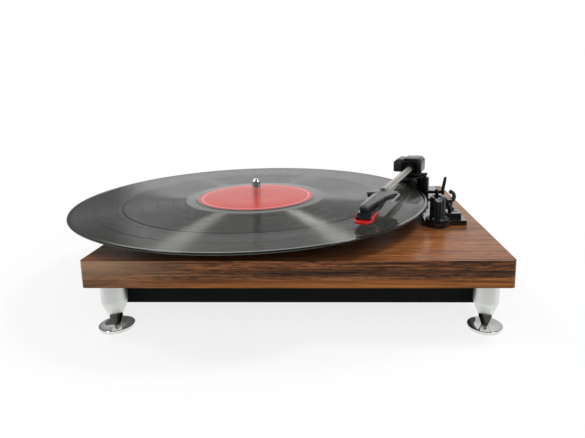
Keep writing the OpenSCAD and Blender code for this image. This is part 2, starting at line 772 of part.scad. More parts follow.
// Bearing: flanged housing screwed under the plinth, bronze bush and thrust ball
module bearing_housing() color("dimgray") at_spindle() difference() {
    union() {
        hole(bearing_d, bearing_z, bearing_top);
        hole(bearing_flange_d, foot_h - bearing_flange_t, foot_h);
    }
    hole(bush_d + 2 * seat, ball_z, bearing_top + cut);
    for (a = MOUNT_SCREW_ANGLES) rotate([0, 0, a]) translate([bearing_screw_r, 0, 0])
        hole(mount_screw_d + 2 * seat, foot_h - bearing_flange_t - cut, foot_h + cut);
}

module bearing_bush() color("peru") at_spindle() difference() {
    hole(bush_d, spindle_z, bearing_top);
    hole(spindle_d + 2 * run_fit, spindle_z - cut, bearing_top + cut);
}

module thrust_ball() color("silver") at_spindle(ball_z + seat + ball_d / 2) sphere(d = ball_d);

module mount_screws() color("#303032") mount_screw_places() {
    screw(mount_screw_d, foot_h - bearing_flange_t, foot_h + mount_screw_grip);
    screw(mount_screw_d, motor_top, foot_h + mount_screw_grip);
}

// Spindle: one turned rod with a shallow relief groove just above the label
module spindle() color("lightgray") at_spindle() difference() {
    union() {
        hole(spindle_d, spindle_z, spindle_top - spindle_tip_h);
        translate([0, 0, spindle_top - spindle_tip_h])
            cylinder(d1 = spindle_d, d2 = spindle_d - 2 * spindle_tip_h, h = spindle_tip_h);
    }
    difference() {
        hole(spindle_d + cut, record_top + label_t, record_top + label_t + relief_h);
        hole(spindle_d - 2 * relief_depth, record_top, record_top + label_t + relief_h + cut);
    }
}

module drive_hub() color("#2a2a2c") at_spindle() difference() {
    hole(hub_d, hub_z, platter_z);
    hole(2 * spindle_hole_r, hub_z - cut, platter_z + cut);
}

module platter() color("#55575a") at_spindle() difference() {
    hole(platter_d, platter_z, mat_z);
    hole(2 * spindle_hole_r, platter_z - cut, mat_z + cut);
}

module slip_mat() color("#1d1d1d") at_spindle() difference() {
    hole(mat_d, mat_z, record_z);
    hole(2 * spindle_hole_r, mat_z - cut, record_z + cut);
}

// Disc: flat underside, raised label area and rim, grooved band between them
module record() color("#181818") at_spindle(record_z) rotate_extrude($fn = 180) polygon([
    [spindle_hole_r, 0],
    [record_r - record_t / 2, 0],
    [record_r, record_t / 2],
    [record_r - record_t / 2, record_t],
    [record_r - rim_w, record_t - groove_dip],
    [groove_in_d / 2 + groove_dip, record_t - groove_dip],
    [groove_in_d / 2, record_t],
    [spindle_hole_r, record_t]
]);

module record_label() color("firebrick") at_spindle() difference() {
    hole(label_d, record_top, record_top + label_t);
    hole(2 * spindle_hole_r, record_top - cut, record_top + label_t + cut);
}

// Arm base: plate with a round lobe under the rest post
module arm_base_plate() color("#0e0e0f") at_pivot(plinth_top) difference() {
    union() {
        translate([-plate_left, -plate_front, 0])
            slab(plate_left + plate_right, plate_front + plate_back, plate_t, plate_corner_r);
        translate([post_x, post_y, 0]) cylinder(d = plate_lobe_d, h = plate_t);
    }
    hole(wire_hole_d, -cut, plate_t + cut);
}

module turret() color("#161718") at_pivot() difference() {
    hole(turret_d, plate_top, turret_top);
    hole(swivel_d + 2 * run_fit, plate_top - cut, turret_top + cut);
}

// Swivel: shaft in the turret, washer on top of it and the post that carries the cross pin
module swivel_post() color("#1c1d1f") in_arm() difference() {
    union() {
        hole(swivel_d, swivel_shaft_z, washer_z + washer_t / 2);
        hole(washer_d, washer_z, washer_z + washer_t);
        translate([-stem_w / 2, -stem_l / 2, washer_z + washer_t / 2])
            cube([stem_w, stem_l, arm_z + stem_up - washer_z - washer_t / 2]);
    }
    translate([0, 0, arm_z]) rotate([0, 90, 0])
        hole(pin_d + 2 * seat, -stem_w / 2 - cut, stem_w / 2 + cut);
}

module pivot_pin() color("silver") in_arm(arm_z) rotate([0, 90, 0])
    hole(pin_d, -pin_l / 2, pin_l / 2);

// Pivot block: chamfered block that straddles the swivel post, fluted on its right side
module pivot_block() color("#202124") in_arm() difference() {
    union() {
        translate([0, block_back, 0]) rotate([90, 0, 0])
            linear_extrude(block_front + block_back) polygon([
                [-block_left, block_z],
                [block_right, block_z],
                [block_right, block_top - block_chamfer],
                [block_right - block_chamfer, block_top],
                [block_chamfer - block_left, block_top],
                [-block_left, block_top - block_chamfer]
            ]);
        translate([-boss_w / 2, -block_front - boss_l, block_z])
            cube([boss_w, boss_l * 2, block_top - block_z - block_chamfer / 2]);
    }
    translate([-pocket_w / 2, -pocket_l / 2, block_z - cut])
        cube([pocket_w, pocket_l, pocket_top - block_z + cut]);
    translate([0, 0, arm_z]) rotate([0, 90, 0])
        hole(pin_d + 2 * run_fit, -block_left - cut, block_right + cut);
    translate([0, 0, arm_z]) rotate([90, 0, 0]) {
        hole(tube_d + 2 * seat, -tube_back_y, block_front + boss_l + cut);
        hole(stub_d + 2 * seat, -block_back - cut, -block_back + stub_socket + seat);
    }
    for (y = [-block_front / 2, 0, block_front / 2])
        translate([block_right - flute_depth, y - flute_w / 2, arm_z + pin_d])
            cube([flute_depth + cut, flute_w, block_top - block_chamfer - arm_z - pin_d]);
}

module arm_tube() color("lightgray") in_arm(arm_z) rotate([90, 0, 0]) difference() {
    hole(tube_d, -tube_back_y, -tube_front_y);
    hole(tube_d - 2 * tube_wall, -tube_back_y - cut, -tube_front_y + cut);
}

module counterweight_stub() color("gray") in_arm(arm_z) rotate([-90, 0, 0])
    hole(stub_d, block_back - stub_socket, block_back + stub_l);

module counterweight() color("#26272a") in_arm(arm_z) rotate([-90, 0, 0]) difference() {
    hole(weight_d, block_back + weight_gap, block_back + weight_gap + weight_l);
    hole(stub_d + 2 * run_fit, block_back, block_back + stub_l + cut);
}

// Headshell: long shell with two unlike wings at its rear and a collar for the tube
module headshell() color("#3a3b3d") in_head() difference() {
    union() {
        translate([0, 0, shell_z]) linear_extrude(shell_t) polygon([
            [-shell_front_w / 2, shell_set],
            [shell_front_w / 2, shell_set],
            [shell_waist_w / 2, right_tip_y - shell_flare_l],
            [shell_w / 2, right_tip_y],
            [shell_rear_w / 2, shell_back_y],
            [-shell_rear_w / 2, shell_back_y],
            [-shell_w / 2, left_tip_y],
            [-shell_w / 2, left_tip_y - left_tip_l],
            [-shell_waist_w / 2, left_tip_y - left_tip_l - notch_slope]
        ]);
        translate([0, 0, arm_z]) rotate([-90, 0, 0])
            hole(collar_d, shell_back_y - tube_in_shell, shell_back_y + collar_l);
    }
    translate([0, 0, arm_z]) rotate([-90, 0, 0])
        hole(tube_d + 2 * seat, shell_back_y - tube_in_shell - seat, shell_back_y + collar_l + cut);
    translate([0, 0, finger_z]) translate([0, finger_y, 0]) rotate([0, 90, 0])
        hole(finger_d + 2 * seat, finger_root_x - seat, shell_w);
}

// Finger lift: wire pressed into the right wing and bent forward beside the headshell
module finger_lift() color("silver") in_head(finger_z) translate([0, finger_y, 0]) {
    rotate([0, 90, 0]) hole(finger_d, finger_root_x, finger_x);
    translate([finger_x, 0, 0]) {
        sphere(d = finger_d);
        rotate([90, 0, 0]) hole(finger_d, 0, finger_l);
        translate([0, -finger_l, 0]) sphere(d = finger_d);
    }
}

module cartridge() color("#17181b") in_head(cartridge_z)
    translate([-cartridge_w / 2, cartridge_set, 0]) cube([cartridge_w, cartridge_l, cartridge_h - seat]);

// Needle guard: red base with a narrowed nose and two cheeks that hold the cartridge
module needle_guard() color("red") in_head(guard_z) {
    linear_extrude(guard_t) polygon([
        [-guard_nose_w / 2, -guard_nose],
        [guard_nose_w / 2, -guard_nose],
        [guard_w / 2, guard_slope_l - guard_nose],
        [guard_w / 2, guard_l - guard_nose],
        [-guard_w / 2, guard_l - guard_nose],
        [-guard_w / 2, guard_slope_l - guard_nose]
    ]);
    for (x = [-guard_w / 2, guard_w / 2 - cheek_w])
        translate([x, guard_slope_l - guard_nose, guard_t / 2])
            cube([cheek_w, guard_l - guard_slope_l, guard_t / 2 + guard_cheek_h]);
}

// Needle: cantilever out of the guard's underside with a small cone at its end
module needle() color("silver") in_head(needle_z) {
    cylinder(d1 = cantilever_d / 4, d2 = cantilever_d, h = cantilever_d);
    translate([0, 0, cantilever_d]) {
        sphere(d = cantilever_d);
        rotate([-asin(cantilever_l / cantilever_run), 0, 0])
            cylinder(d = cantilever_d, h = cantilever_run);
    }
}

// Rest post: flanged post with a notch for the tube, its prongs below the swinging arm
module rest_post() color("#151617") at_pivot() translate([post_x, post_y, 0]) difference() {
    union() {
        hole(post_flange_d, plate_top, plate_top + post_flange_t);
        hole(post_d, plate_top + post_flange_t / 2, post_top);
    }
    translate([-notch_w / 2, -post_d, post_top - notch_h]) cube([notch_w, 2 * post_d, notch_h + cut]);
}

// Cueing: guide, rod and curved bar under the tube, shaft, bracket and lever
module lifter_guide() color("#1a1b1c") at_pivot() translate([guide_x, guide_y, 0]) difference() {
    hole(guide_d, plate_top, guide_top);
    hole(lifter_rod_d + 2 * run_fit, plate_top, guide_top + cut);
}

module lifter_rod() color("silver") at_pivot() translate([guide_x, guide_y, 0])
    hole(lifter_rod_d, lifter_rod_z, lifter_z);

module lifter_bar() color("#2b2c2e") at_pivot(lifter_z)
    rotate([0, 0, -90 - lifter_sweep - lifter_start]) rotate_extrude(angle = lifter_sweep)
        translate([lifter_r - lifter_w / 2, 0]) square([lifter_w, lifter_h]);

module cue_bracket() color("#1a1b1c") at_pivot() difference() {
    translate([cue_right - bracket_from_lever - bracket_w, -cue_front - bracket_d / 2, plate_top])
        cube([bracket_w, bracket_d, cue_shaft_up + bracket_d / 2]);
    translate([0, -cue_front, cue_z]) rotate([0, 90, 0])
        hole(cue_shaft_d + 2 * run_fit, 0, cue_right);
}

module cue_shaft() color("silver") at_pivot() translate([0, -cue_front, cue_z]) rotate([0, 90, 0])
    hole(cue_shaft_d, cue_right - cue_shaft_l, cue_right + cue_hub_l);

module cue_lever() color("#111111") at_pivot() translate([cue_right, -cue_front, cue_z]) {
    difference() {
        rotate([0, 90, 0]) hole(cue_hub_d, 0, cue_hub_l);
        rotate([0, 90, 0]) hole(cue_shaft_d + 2 * seat, -cut, cue_hub_l + cut);
    }
    translate([cue_hub_l / 2, 0, cue_root_up]) rotate([0, cue_lean, 0])
        cylinder(d1 = cue_root_w, d2 = cue_w, h = cue_l - cue_w / 2);
    translate([cue_hub_l / 2, 0, cue_root_up]) rotate([0, cue_lean, 0])
        translate([0, 0, cue_l - cue_w / 2]) sphere(d = cue_w);
}

// Switch: low panel with a slot and the peg that slides in it
module switch_panel() color("#131415") at_pivot(plate_top) translate([switch_x, switch_y, 0])
    difference() {
        cube([switch_w, switch_d, switch_h]);
        translate([peg_side, switch_d / 2, switch_h - peg_neck_l - peg_float])
            translate([-peg_slot_r, -peg_slot_r, 0])
                cube([peg_travel + 2 * peg_slot_r, 2 * peg_slot_r, switch_h]);
    }

module switch_peg() color("#0c0c0c") at_pivot(plate_top + switch_h)
    translate([switch_x + peg_side, switch_y + switch_d / 2, 0]) {
        hole(peg_neck_d, -peg_neck_l, peg_float + peg_h / 2);
        hole(peg_d, peg_float, peg_h);
    }

// Speed lever: hook with a finger nub, turning on a pin between two ears
module speed_bracket() color("#151617") at_pivot() translate([speed_x, speed_y, 0]) {
    for (side = [-1, 1]) translate([0, side * (hook_t / 2 + speed_ear_gap + speed_ear_w / 2), 0])
        translate([-speed_pin_d, -speed_ear_w / 2, plate_top])
            cube([2 * speed_pin_d, speed_ear_w, speed_pin_up + speed_pin_d]);
    pin_half = hook_t / 2 + speed_ear_gap + speed_ear_w / 2;
    translate([0, 0, speed_z]) rotate([90, 0, 0]) hole(speed_pin_d, -pin_half, pin_half);
}

module speed_lever() color("#0f0f10") at_pivot() translate([speed_x, speed_y, speed_z])
    rotate([90, 0, 0]) difference() {
        union() {
            hole(speed_pin_d * 2, -hook_t / 2, hook_t / 2);
            translate([0, hook_mean_r, 0]) {
                rotate([0, 0, hook_start]) translate([0, 0, -hook_t / 2])
                    rotate_extrude(angle = hook_sweep)
                        translate([hook_mean_r - hook_t / 2, 0]) square([hook_t, hook_t]);
                rotate([0, 0, hook_start + hook_sweep]) translate([hook_mean_r, 0, 0])
                    sphere(d = nub_d);
            }
        }
        hole(speed_pin_d + 2 * run_fit, -hook_t, hook_t);
    }

plinth();
chassis_tray();
tray_screws();
circuit_board();
board_screws();
jack_plate();
phono_jacks();
power_jack();
front_left_foot();
front_right_foot();
rear_left_foot();
rear_right_foot();
foot_studs();
front_left_pad();
front_right_pad();
rear_left_pad();
rear_right_pad();
motor_plate();
motor_can();
motor_shaft();
motor_pulley();
drive_belt();
bearing_housing();
bearing_bush();
thrust_ball();
mount_screws();
spindle();
drive_hub();
platter();
slip_mat();
record();
record_label();
arm_base_plate();
turret();
swivel_post();
pivot_pin();
pivot_block();
arm_tube();
counterweight_stub();
counterweight();
headshell();
finger_lift();
cartridge();
needle_guard();
needle();
rest_post();
lifter_guide();
lifter_rod();
lifter_bar();
cue_bracket();
cue_shaft();
cue_lever();
switch_panel();
switch_peg();
speed_bracket();
speed_lever();
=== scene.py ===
# %% [markdown]
# # A compact record player
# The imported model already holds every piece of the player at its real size: the plinth on its
# spike feet, the drive, the disc and the tonearm. This lesson leaves those sizes alone. It gives
# each piece the rounded edges, the small parts and the finish that the eye expects, and looks at
# the result from the height of someone sitting in front of the player.

# %% Load the frame
import json
import math

import bmesh
import bpy
from mathutils import Euler, Matrix, Vector


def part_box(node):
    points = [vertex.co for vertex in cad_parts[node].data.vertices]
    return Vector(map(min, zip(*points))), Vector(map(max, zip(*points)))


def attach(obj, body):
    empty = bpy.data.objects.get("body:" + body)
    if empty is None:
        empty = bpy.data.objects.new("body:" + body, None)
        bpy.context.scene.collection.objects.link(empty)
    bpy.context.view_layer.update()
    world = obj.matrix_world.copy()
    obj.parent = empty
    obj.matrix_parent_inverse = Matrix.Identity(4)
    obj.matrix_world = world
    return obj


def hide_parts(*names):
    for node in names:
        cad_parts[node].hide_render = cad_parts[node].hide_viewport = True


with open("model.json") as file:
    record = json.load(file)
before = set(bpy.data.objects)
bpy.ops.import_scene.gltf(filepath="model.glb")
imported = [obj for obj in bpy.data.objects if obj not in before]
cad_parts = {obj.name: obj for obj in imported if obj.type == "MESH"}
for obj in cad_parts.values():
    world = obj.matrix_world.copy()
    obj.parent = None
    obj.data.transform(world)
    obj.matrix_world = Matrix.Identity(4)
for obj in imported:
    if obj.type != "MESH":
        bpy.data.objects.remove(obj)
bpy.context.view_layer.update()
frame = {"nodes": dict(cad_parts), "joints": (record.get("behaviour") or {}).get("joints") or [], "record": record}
nodes = frame["nodes"]
joints = {joint["name"]: joint for joint in frame["joints"]}
bodies = frame["record"]["behaviour"]["bodies"]
body_of = {node: body for body, group in bodies.items() for node in group}

# %% [markdown]
# ## Places in millimetres
# A record player is drawn in millimetres, so the lesson works in them too and scales each mesh
# to metres at the end. The spindle, the arm's pivot and the arm's direction could be typed in,
# but the joints of the frame already know them, so nothing can drift apart.

# %% Spindle, pivot and the arm's own frame
MM = 0.001


def span(node):
    """Lowest and highest corner of a CAD node, in millimetres."""
    low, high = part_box(node)
    return low / MM, high / MM


def middle(node):
    """Centre of a CAD node's box, in millimetres."""
    low, high = span(node)
    return (low + high) / 2


def half_width(node):
    """Half of a CAD node's width along X, in millimetres: the radius of a turned piece."""
    low, high = span(node)
    return (high.x - low.x) / 2


spindle_at = Vector(joints["platter_spin"]["pos_m"]) / MM
pivot_at = Vector(joints["arm_lift"]["pos_m"]) / MM
backward = Vector(joints["weight_turn"]["axis"])
arm_turn = math.atan2(backward.x, backward.y)
needle_tip = min((v.co / MM for v in nodes["needle"].data.vertices), key=lambda p: p.z)
arm_length = (needle_tip - pivot_at).to_2d().length
in_arm = Matrix.Translation(pivot_at) @ Matrix.Rotation(-arm_turn, 4, "Z")
in_head = in_arm @ Matrix.Translation((0, -arm_length, 0))
print(f"arm {arm_length:.1f} mm long, turned {math.degrees(arm_turn):.1f} degrees")

# %% [markdown]
# ## The camera
# The player is seen from just above the disc, a little right of its middle. The lens and the
# place were found by matching the disc's ellipse, the plinth's corners and the feet. Turning the
# camera with three angles keeps it readable: down, to the left, and a slight roll.

# %% Camera
PHOTO_W = 585
PHOTO_H = 438
SENSOR_W = 36
FOCAL_PX = 475
CENTRE_PX = (328.8, 170)
CAMERA_AT = Vector((55.8, -414.8, 164))
LOOK_DOWN = 0.1719
LOOK_LEFT = 0.0235
ROLL = 0.0096
NEAREST = 10

lens = bpy.data.cameras.new("camera")
lens.sensor_width = SENSOR_W
lens.lens = FOCAL_PX * SENSOR_W / PHOTO_W
lens.shift_x = (PHOTO_W / 2 - CENTRE_PX[0]) / PHOTO_W
lens.shift_y = (CENTRE_PX[1] - PHOTO_H / 2) / PHOTO_W
lens.clip_start = NEAREST * MM
camera = bpy.data.objects.new("camera", lens)
bpy.context.scene.collection.objects.link(camera)
facing = Euler((math.pi / 2 - LOOK_DOWN, 0, LOOK_LEFT)).to_matrix().to_4x4()
camera.matrix_world = Matrix.Translation(CAMERA_AT * MM) @ facing @ Matrix.Rotation(-ROLL, 4, "Z")
bpy.context.scene.camera = camera
print(f"lens {lens.lens:.1f} mm, camera {CAMERA_AT.z:.0f} mm above the table")

# %% [markdown]
# ## Turning, cutting and bending in code
# Most pieces here come off a lathe or out of a flat mould. Four small makers cover them: one
# rounds the corners of a drawn outline, one spins an outline round an axis, one gives an outline
# a thickness with softened edges, and one draws a section along a path. They return loose shapes
# in millimetres, so several can be joined into one piece.

# %% Rounded outlines
EASE_STEPS = 5


def eased(points, closed=True, steps=EASE_STEPS):
    """An outline with an arc at each corner that gives a radius as its third number."""
    made = []
    for i, point in enumerate(points):
        here = Vector(point[:2])
        at_end = not closed and i in (0, len(points) - 1)
        if len(point) < 3 or at_end:
            made.append(here)
            continue
        back = (Vector(points[i - 1][:2]) - here).normalized()
        on = (Vector(points[(i + 1) % len(points)][:2]) - here).normalized()
        half = back.angle(on) / 2
        centre = here + (back + on).normalized() * point[2] / math.sin(half)
        first = here + back * point[2] / math.tan(half) - centre
        last = here + on * point[2] / math.tan(half) - centre
        sweep = first.angle(last)
        for step in range(steps + 1):
            part = step / steps
            turned_by = first * math.sin((1 - part) * sweep) + last * math.sin(part * sweep)
            made.append(centre + turned_by / math.sin(sweep))
    return made


print("a triangle with three arcs:", len(eased([(0, 0, 1), (9, 0, 1), (0, 9, 1)])), "points")

# %% Spinning an outline
AROUND = 96
ON_AXIS = 1e-4


def bridge(shape, one, two):
    """Faces between two rings of vertices, where a ring of one vertex is a point."""
    count = max(len(one), len(two))
    for i in range(count):
        j = (i + 1) % count
        corners = [one[i % len(one)], one[j % len(one)], two[j % len(two)], two[i % len(two)]]
        corners = [c for k, c in enumerate(corners) if c not in corners[:k]]
        if len(corners) > 2:
            shape.faces.new(corners)


def turned(profile, place=Matrix(), around=AROUND, flutes=0, depth=0.0, fluted=(0, 0)):
    """A profile of (radius, height) points spun about its Z axis, with flutes between two heights."""
    shape = bmesh.new()
    rings = []
    for radius, height in profile:
        cut = depth if flutes and fluted[0] <= height <= fluted[1] else 0
        ring = []
        for step in range(around if radius > ON_AXIS else 1):
            angle = math.tau * step / around
            reach = radius - cut * (0.5 - 0.5 * math.cos(flutes * angle))
            ring.append(shape.verts.new((reach * math.cos(angle), reach * math.sin(angle), height)))
        rings.append(ring)
    for one, two in zip(rings, rings[1:]):
        bridge(shape, one, two)
    if len(rings[0]) > 1 and len(rings[-1]) > 1:
        bridge(shape, rings[-1], rings[0])
    bmesh.ops.transform(shape, matrix=place, verts=shape.verts)
    return shape


print("turned pieces have", AROUND, "steps around, unless they say otherwise")

# %% Giving an outline a thickness
CRISP = math.radians(50)


def plate(outline, low, high, edge=0.3, place=Matrix(), segments=2):
    """A flat outline with a thickness, its edges rounded by a small radius."""
    shape = bmesh.new()
    face = shape.faces.new([shape.verts.new((x, y, low)) for x, y in outline])
    lifted = bmesh.ops.extrude_face_region(shape, geom=[face])["geom"]
    raised = [v for v in lifted if isinstance(v, bmesh.types.BMVert)]
    bmesh.ops.translate(shape, verts=raised, vec=(0, 0, high - low))
    bmesh.ops.recalc_face_normals(shape, faces=shape.faces)
    if edge:
        crisp = [e for e in shape.edges if e.calc_face_angle(0) > CRISP]
        bmesh.ops.bevel(shape, geom=crisp, offset=edge, segments=segments, profile=0.5,
                        affect="EDGES", clamp_overlap=True)
    bmesh.ops.transform(shape, matrix=place, verts=shape.verts)
    return shape


print(f"plates are rounded where faces meet at more than {math.degrees(CRISP):.0f} degrees")

# %% Drawing a section along a path
DOME_STEPS = 4
DOME_END = math.radians(82)


def swept(path, section, place=Matrix(), dome=0.0):
    """A section of (across, up) points drawn along a path in one plane, with ends rounded by dome."""
    shape = bmesh.new()
    normal = (path[len(path) // 2] - path[0]).cross(path[-1] - path[0]).normalized()
    stations = []
    for i, point in enumerate(path):
        ahead = (path[min(i + 1, len(path) - 1)] - path[max(i - 1, 0)]).normalized()
        stations.append((point, ahead, 1.0))
    if dome:
        first, last = stations[0], stations[-1]
        for step in range(DOME_STEPS):
            bend = DOME_END * (step + 1) / DOME_STEPS
            out, scale = dome * math.sin(bend), math.cos(bend)
            stations.insert(0, (first[0] - first[1] * out, first[1], scale))
            stations.append((last[0] + last[1] * out, last[1], scale))
    rings = []
    for point, ahead, scale in stations:
        across = ahead.cross(normal) * scale
        rings.append([shape.verts.new(point + across * a + normal * b * scale) for a, b in section])
    for one, two in zip(rings, rings[1:]):
        bridge(shape, one, two)
    shape.faces.new(rings[0][::-1])
    shape.faces.new(rings[-1])
    bmesh.ops.transform(shape, matrix=place, verts=shape.verts)
    return shape


print("rounded ends have", DOME_STEPS, "steps")

# %% Joining shapes, and cutting one out of another
def merged(*shapes):
    """Several loose shapes as one."""
    whole = bmesh.new()
    for shape in shapes:
        bmesh.ops.recalc_face_normals(shape, faces=shape.faces)
        loose = bpy.data.meshes.new("loose")
        shape.to_mesh(loose)
        shape.free()
        whole.from_mesh(loose)
        bpy.data.meshes.remove(loose)
    return whole


def as_object(shape, name):
    """A loose shape as an object in the scene, still in millimetres."""
    bmesh.ops.recalc_face_normals(shape, faces=shape.faces)
    mesh = bpy.data.meshes.new(name)
    shape.to_mesh(mesh)
    shape.free()
    made = bpy.data.objects.new(name, mesh)
    bpy.context.scene.collection.objects.link(made)
    return made


def carved(shape, *tools):
    """The shape without the tools, cut exactly."""
    block = as_object(shape, "block")
    for tool in tools:
        cutter = as_object(tool, "cutter")
        cut = block.modifiers.new("cut", "BOOLEAN")
        cut.object = cutter
        cut.solver = "EXACT"
        graph = bpy.context.evaluated_depsgraph_get()
        result = bpy.data.meshes.new_from_object(block.evaluated_get(graph))
        block.modifiers.remove(cut)
        block.data = result
        bpy.data.objects.remove(cutter)
    left = bmesh.new()
    left.from_mesh(block.data)
    bpy.data.objects.remove(block)
    return left


print("shapes can be merged and carved")

# %% From shapes to a piece that rides on the frame
SHARP_ANGLE = math.radians(25)
FACETS = {}


def piece(name, stands_for, *parts):
    """Joins (shape, material) parts into one piece that replaces CAD nodes and moves with them."""
    materials = []
    for shape, material in parts:
        if material not in materials:
            materials.append(material)
        for face in shape.faces:
            face.material_index = materials.index(material)
    made = as_object(merged(*[shape for shape, material in parts]), name)
    mesh = made.data
    mesh.transform(Matrix.Scale(MM, 4))
    for material in materials:
        mesh.materials.append(material)
    mesh.shade_smooth()
    mesh.set_sharp_from_angle(angle=SHARP_ANGLE)
    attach(made, body_of[stands_for[0]])
    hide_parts(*stands_for)
    FACETS[name] = len(mesh.polygons)


print(f"edges sharper than {math.degrees(SHARP_ANGLE):.0f} degrees stay sharp")

# %% CAD pieces that keep their shape
WELD = 1e-6
ROUND_STEPS = 3
ROUND_ANGLE = math.radians(40)


def dressed(node, material, edge=0.0):
    """Keeps a CAD node's shape, gives it a material and rounds its edges by tenths of a millimetre."""
    shown = nodes[node]
    shown.data.materials.clear()
    shown.data.materials.append(material)
    if edge:
        shown.modifiers.new("weld", "WELD").merge_threshold = WELD
        rounding = shown.modifiers.new("rounding", "BEVEL")
        rounding.width = edge * MM
        rounding.segments = ROUND_STEPS
        rounding.angle_limit = ROUND_ANGLE
        rounding.harden_normals = False
        smooth = shown.modifiers.new("normals", "WEIGHTED_NORMAL")
        smooth.keep_sharp = False


print(f"CAD edges over {math.degrees(ROUND_ANGLE):.0f} degrees can be rounded")

# %% [markdown]
# ## Shader helpers
# Colours are written as the sRGB hex values that a picture editor shows, and one function turns
# them into the linear numbers that shaders use. Another adds a node with its settings and links.
# Patterns are sized in millimetres: object coordinates are metres, so a pattern that repeats
# every so many millimetres is scaled by a thousand over that number.

# %% Colours, nodes and pattern sizes
def linear(code):
    """An sRGB hex colour as the linear colour that a shader socket takes."""
    parts = [int(code[i:i + 2], 16) / 255 for i in (1, 3, 5)]
    return (*[p / 12.92 if p <= 0.04045 else ((p + 0.055) / 1.055) ** 2.4 for p in parts], 1)


def add(tree, kind, inputs=None, stops=None, **settings):
    """Adds one node: its settings, its colour stops, and its inputs as values or linked sockets."""
    made = tree.nodes.new("ShaderNode" + kind)
    for name, value in settings.items():
        setattr(made, name, value)
    if stops:
        elements = made.color_ramp.elements
        for element, (place, code) in zip(elements, (stops[0], stops[-1])):
            element.position = place
            element.color = linear(code)
        for place, code in stops[1:-1]:
            elements.new(place).color = linear(code)
    for name, value in (inputs or {}).items():
        if isinstance(value, bpy.types.NodeSocket):
            tree.links.new(value, made.inputs[name])
        else:
            made.inputs[name].default_value = value
    return made


def every(*sizes):
    """Mapping scale for a pattern that repeats every so many millimetres along X, Y and Z."""
    return [1 / (MM * size) for size in sizes]


def finish(name, sockets):
    """A new material with the constant sockets of its shader set: (material, tree, shader)."""
    made = bpy.data.materials.new(name)
    made.use_nodes = True
    shader = made.node_tree.nodes["Principled BSDF"]
    for socket, value in sockets.items():
        shader.inputs[socket].default_value = value
    return made, made.node_tree, shader


print("mid grey is", round(linear("#808080")[0], 3), "in linear light")

# %% [markdown]
# ## Lacquered walnut veneer
# The plinth is a board with a dark walnut veneer under satin lacquer. Walnut shows long streaks
# along the grain, broader bands of redder and greyer wood, and short dark pores. A picture of
# wood would repeat; noise that is stretched along the grain gives streaks that run round the
# edges as real wood does. A lower ply of redder wood shows along the bottom of the edge.

# %% Bands and streaks
LEANING_GRAIN = (0, math.radians(1.2), math.radians(2.5))
BAND_SIZE = (230, 20, 7)
BAND_START = (0.4, 0.2, 0.1)
STREAK_SIZE = (50, 1.6, 1.1)
SHADE_SPAN = (0.16, 0.84)
# Each pair counts on the top and on the edge, where the leaf was cut across its rings; the level pair also paints
# the top lighter than the edge, as painted light
BAND_WEIGHT = (0.55, 1.1)
TOP_LIGHT_LEVEL = (0.58, 0.5)
STREAK_WEIGHT = (0.95, 1.6)


def veneer_grain(tree, at, on_edge):
    """The tone of the wood from dark to light: broad bands with fine streaks, on a top painted lighter than the
    edge.
    """
    # Broad bands, 20 mm wide on the top and 7 mm on the edge, from dark brown to orange-brown
    wide = add(tree, "Mapping", {"Vector": at, "Scale": every(*BAND_SIZE), "Location": BAND_START,
                                 "Rotation": LEANING_GRAIN})
    bands = add(tree, "TexNoise", {"Vector": wide.outputs[0], "Scale": 1, "Detail": 3,
                                   "Roughness": 0.5, "Distortion": 0.7})
    # Streaks of early and late wood, a millimetre wide and 50 mm long
    long = add(tree, "Mapping", {"Vector": at, "Scale": every(*STREAK_SIZE),
                                 "Rotation": LEANING_GRAIN})
    streaks = add(tree, "TexNoise", {"Vector": long.outputs[0], "Scale": 1, "Detail": 6,
                                     "Roughness": 0.7, "Distortion": 0.25})
    weight = add(tree, "MapRange", {"Value": on_edge, "To Min": BAND_WEIGHT[0],
                                    "To Max": BAND_WEIGHT[1]})
    # Painted light: the top is lifted a little above the edge
    level = add(tree, "MapRange", {"Value": on_edge, "To Min": TOP_LIGHT_LEVEL[0],
                                   "To Max": TOP_LIGHT_LEVEL[1]})
    bold = add(tree, "MapRange", {"Value": on_edge, "To Min": STREAK_WEIGHT[0],
                                  "To Max": STREAK_WEIGHT[1]})
    centred = add(tree, "Math", {0: bands.outputs[0], 1: 0.5}, operation="SUBTRACT")
    tone = add(tree, "Math", {0: centred.outputs[0], 1: weight.outputs[0], 2: level.outputs[0]},
               operation="MULTIPLY_ADD")
    grain = add(tree, "Math", {0: streaks.outputs[0], 1: 0.5}, operation="SUBTRACT")
    shade = add(tree, "Math", {0: grain.outputs[0], 1: bold.outputs[0], 2: tone.outputs[0]},
                operation="MULTIPLY_ADD")
    shade = add(tree, "MapRange", {"Value": shade.outputs[0], "From Min": SHADE_SPAN[0],
                                   "From Max": SHADE_SPAN[1]})
    return shade.outputs[0]


print("streaks", STREAK_SIZE[0], "mm long, bands", BAND_SIZE[1], "mm wide")

# %% Heartwood figure
HEART_DRIFT = (160, 160, 40)
HEART_SWAY = 9.0
HEART_DROP = 3.4
HEART_CORE = 1.4
HEART_REACH = 5.4
# The next two values fade the figure out under the painted sheen at the left end
HEART_SHEEN_FADE = (-100, 20)
HEART_DARK = (0.8, 0.26)


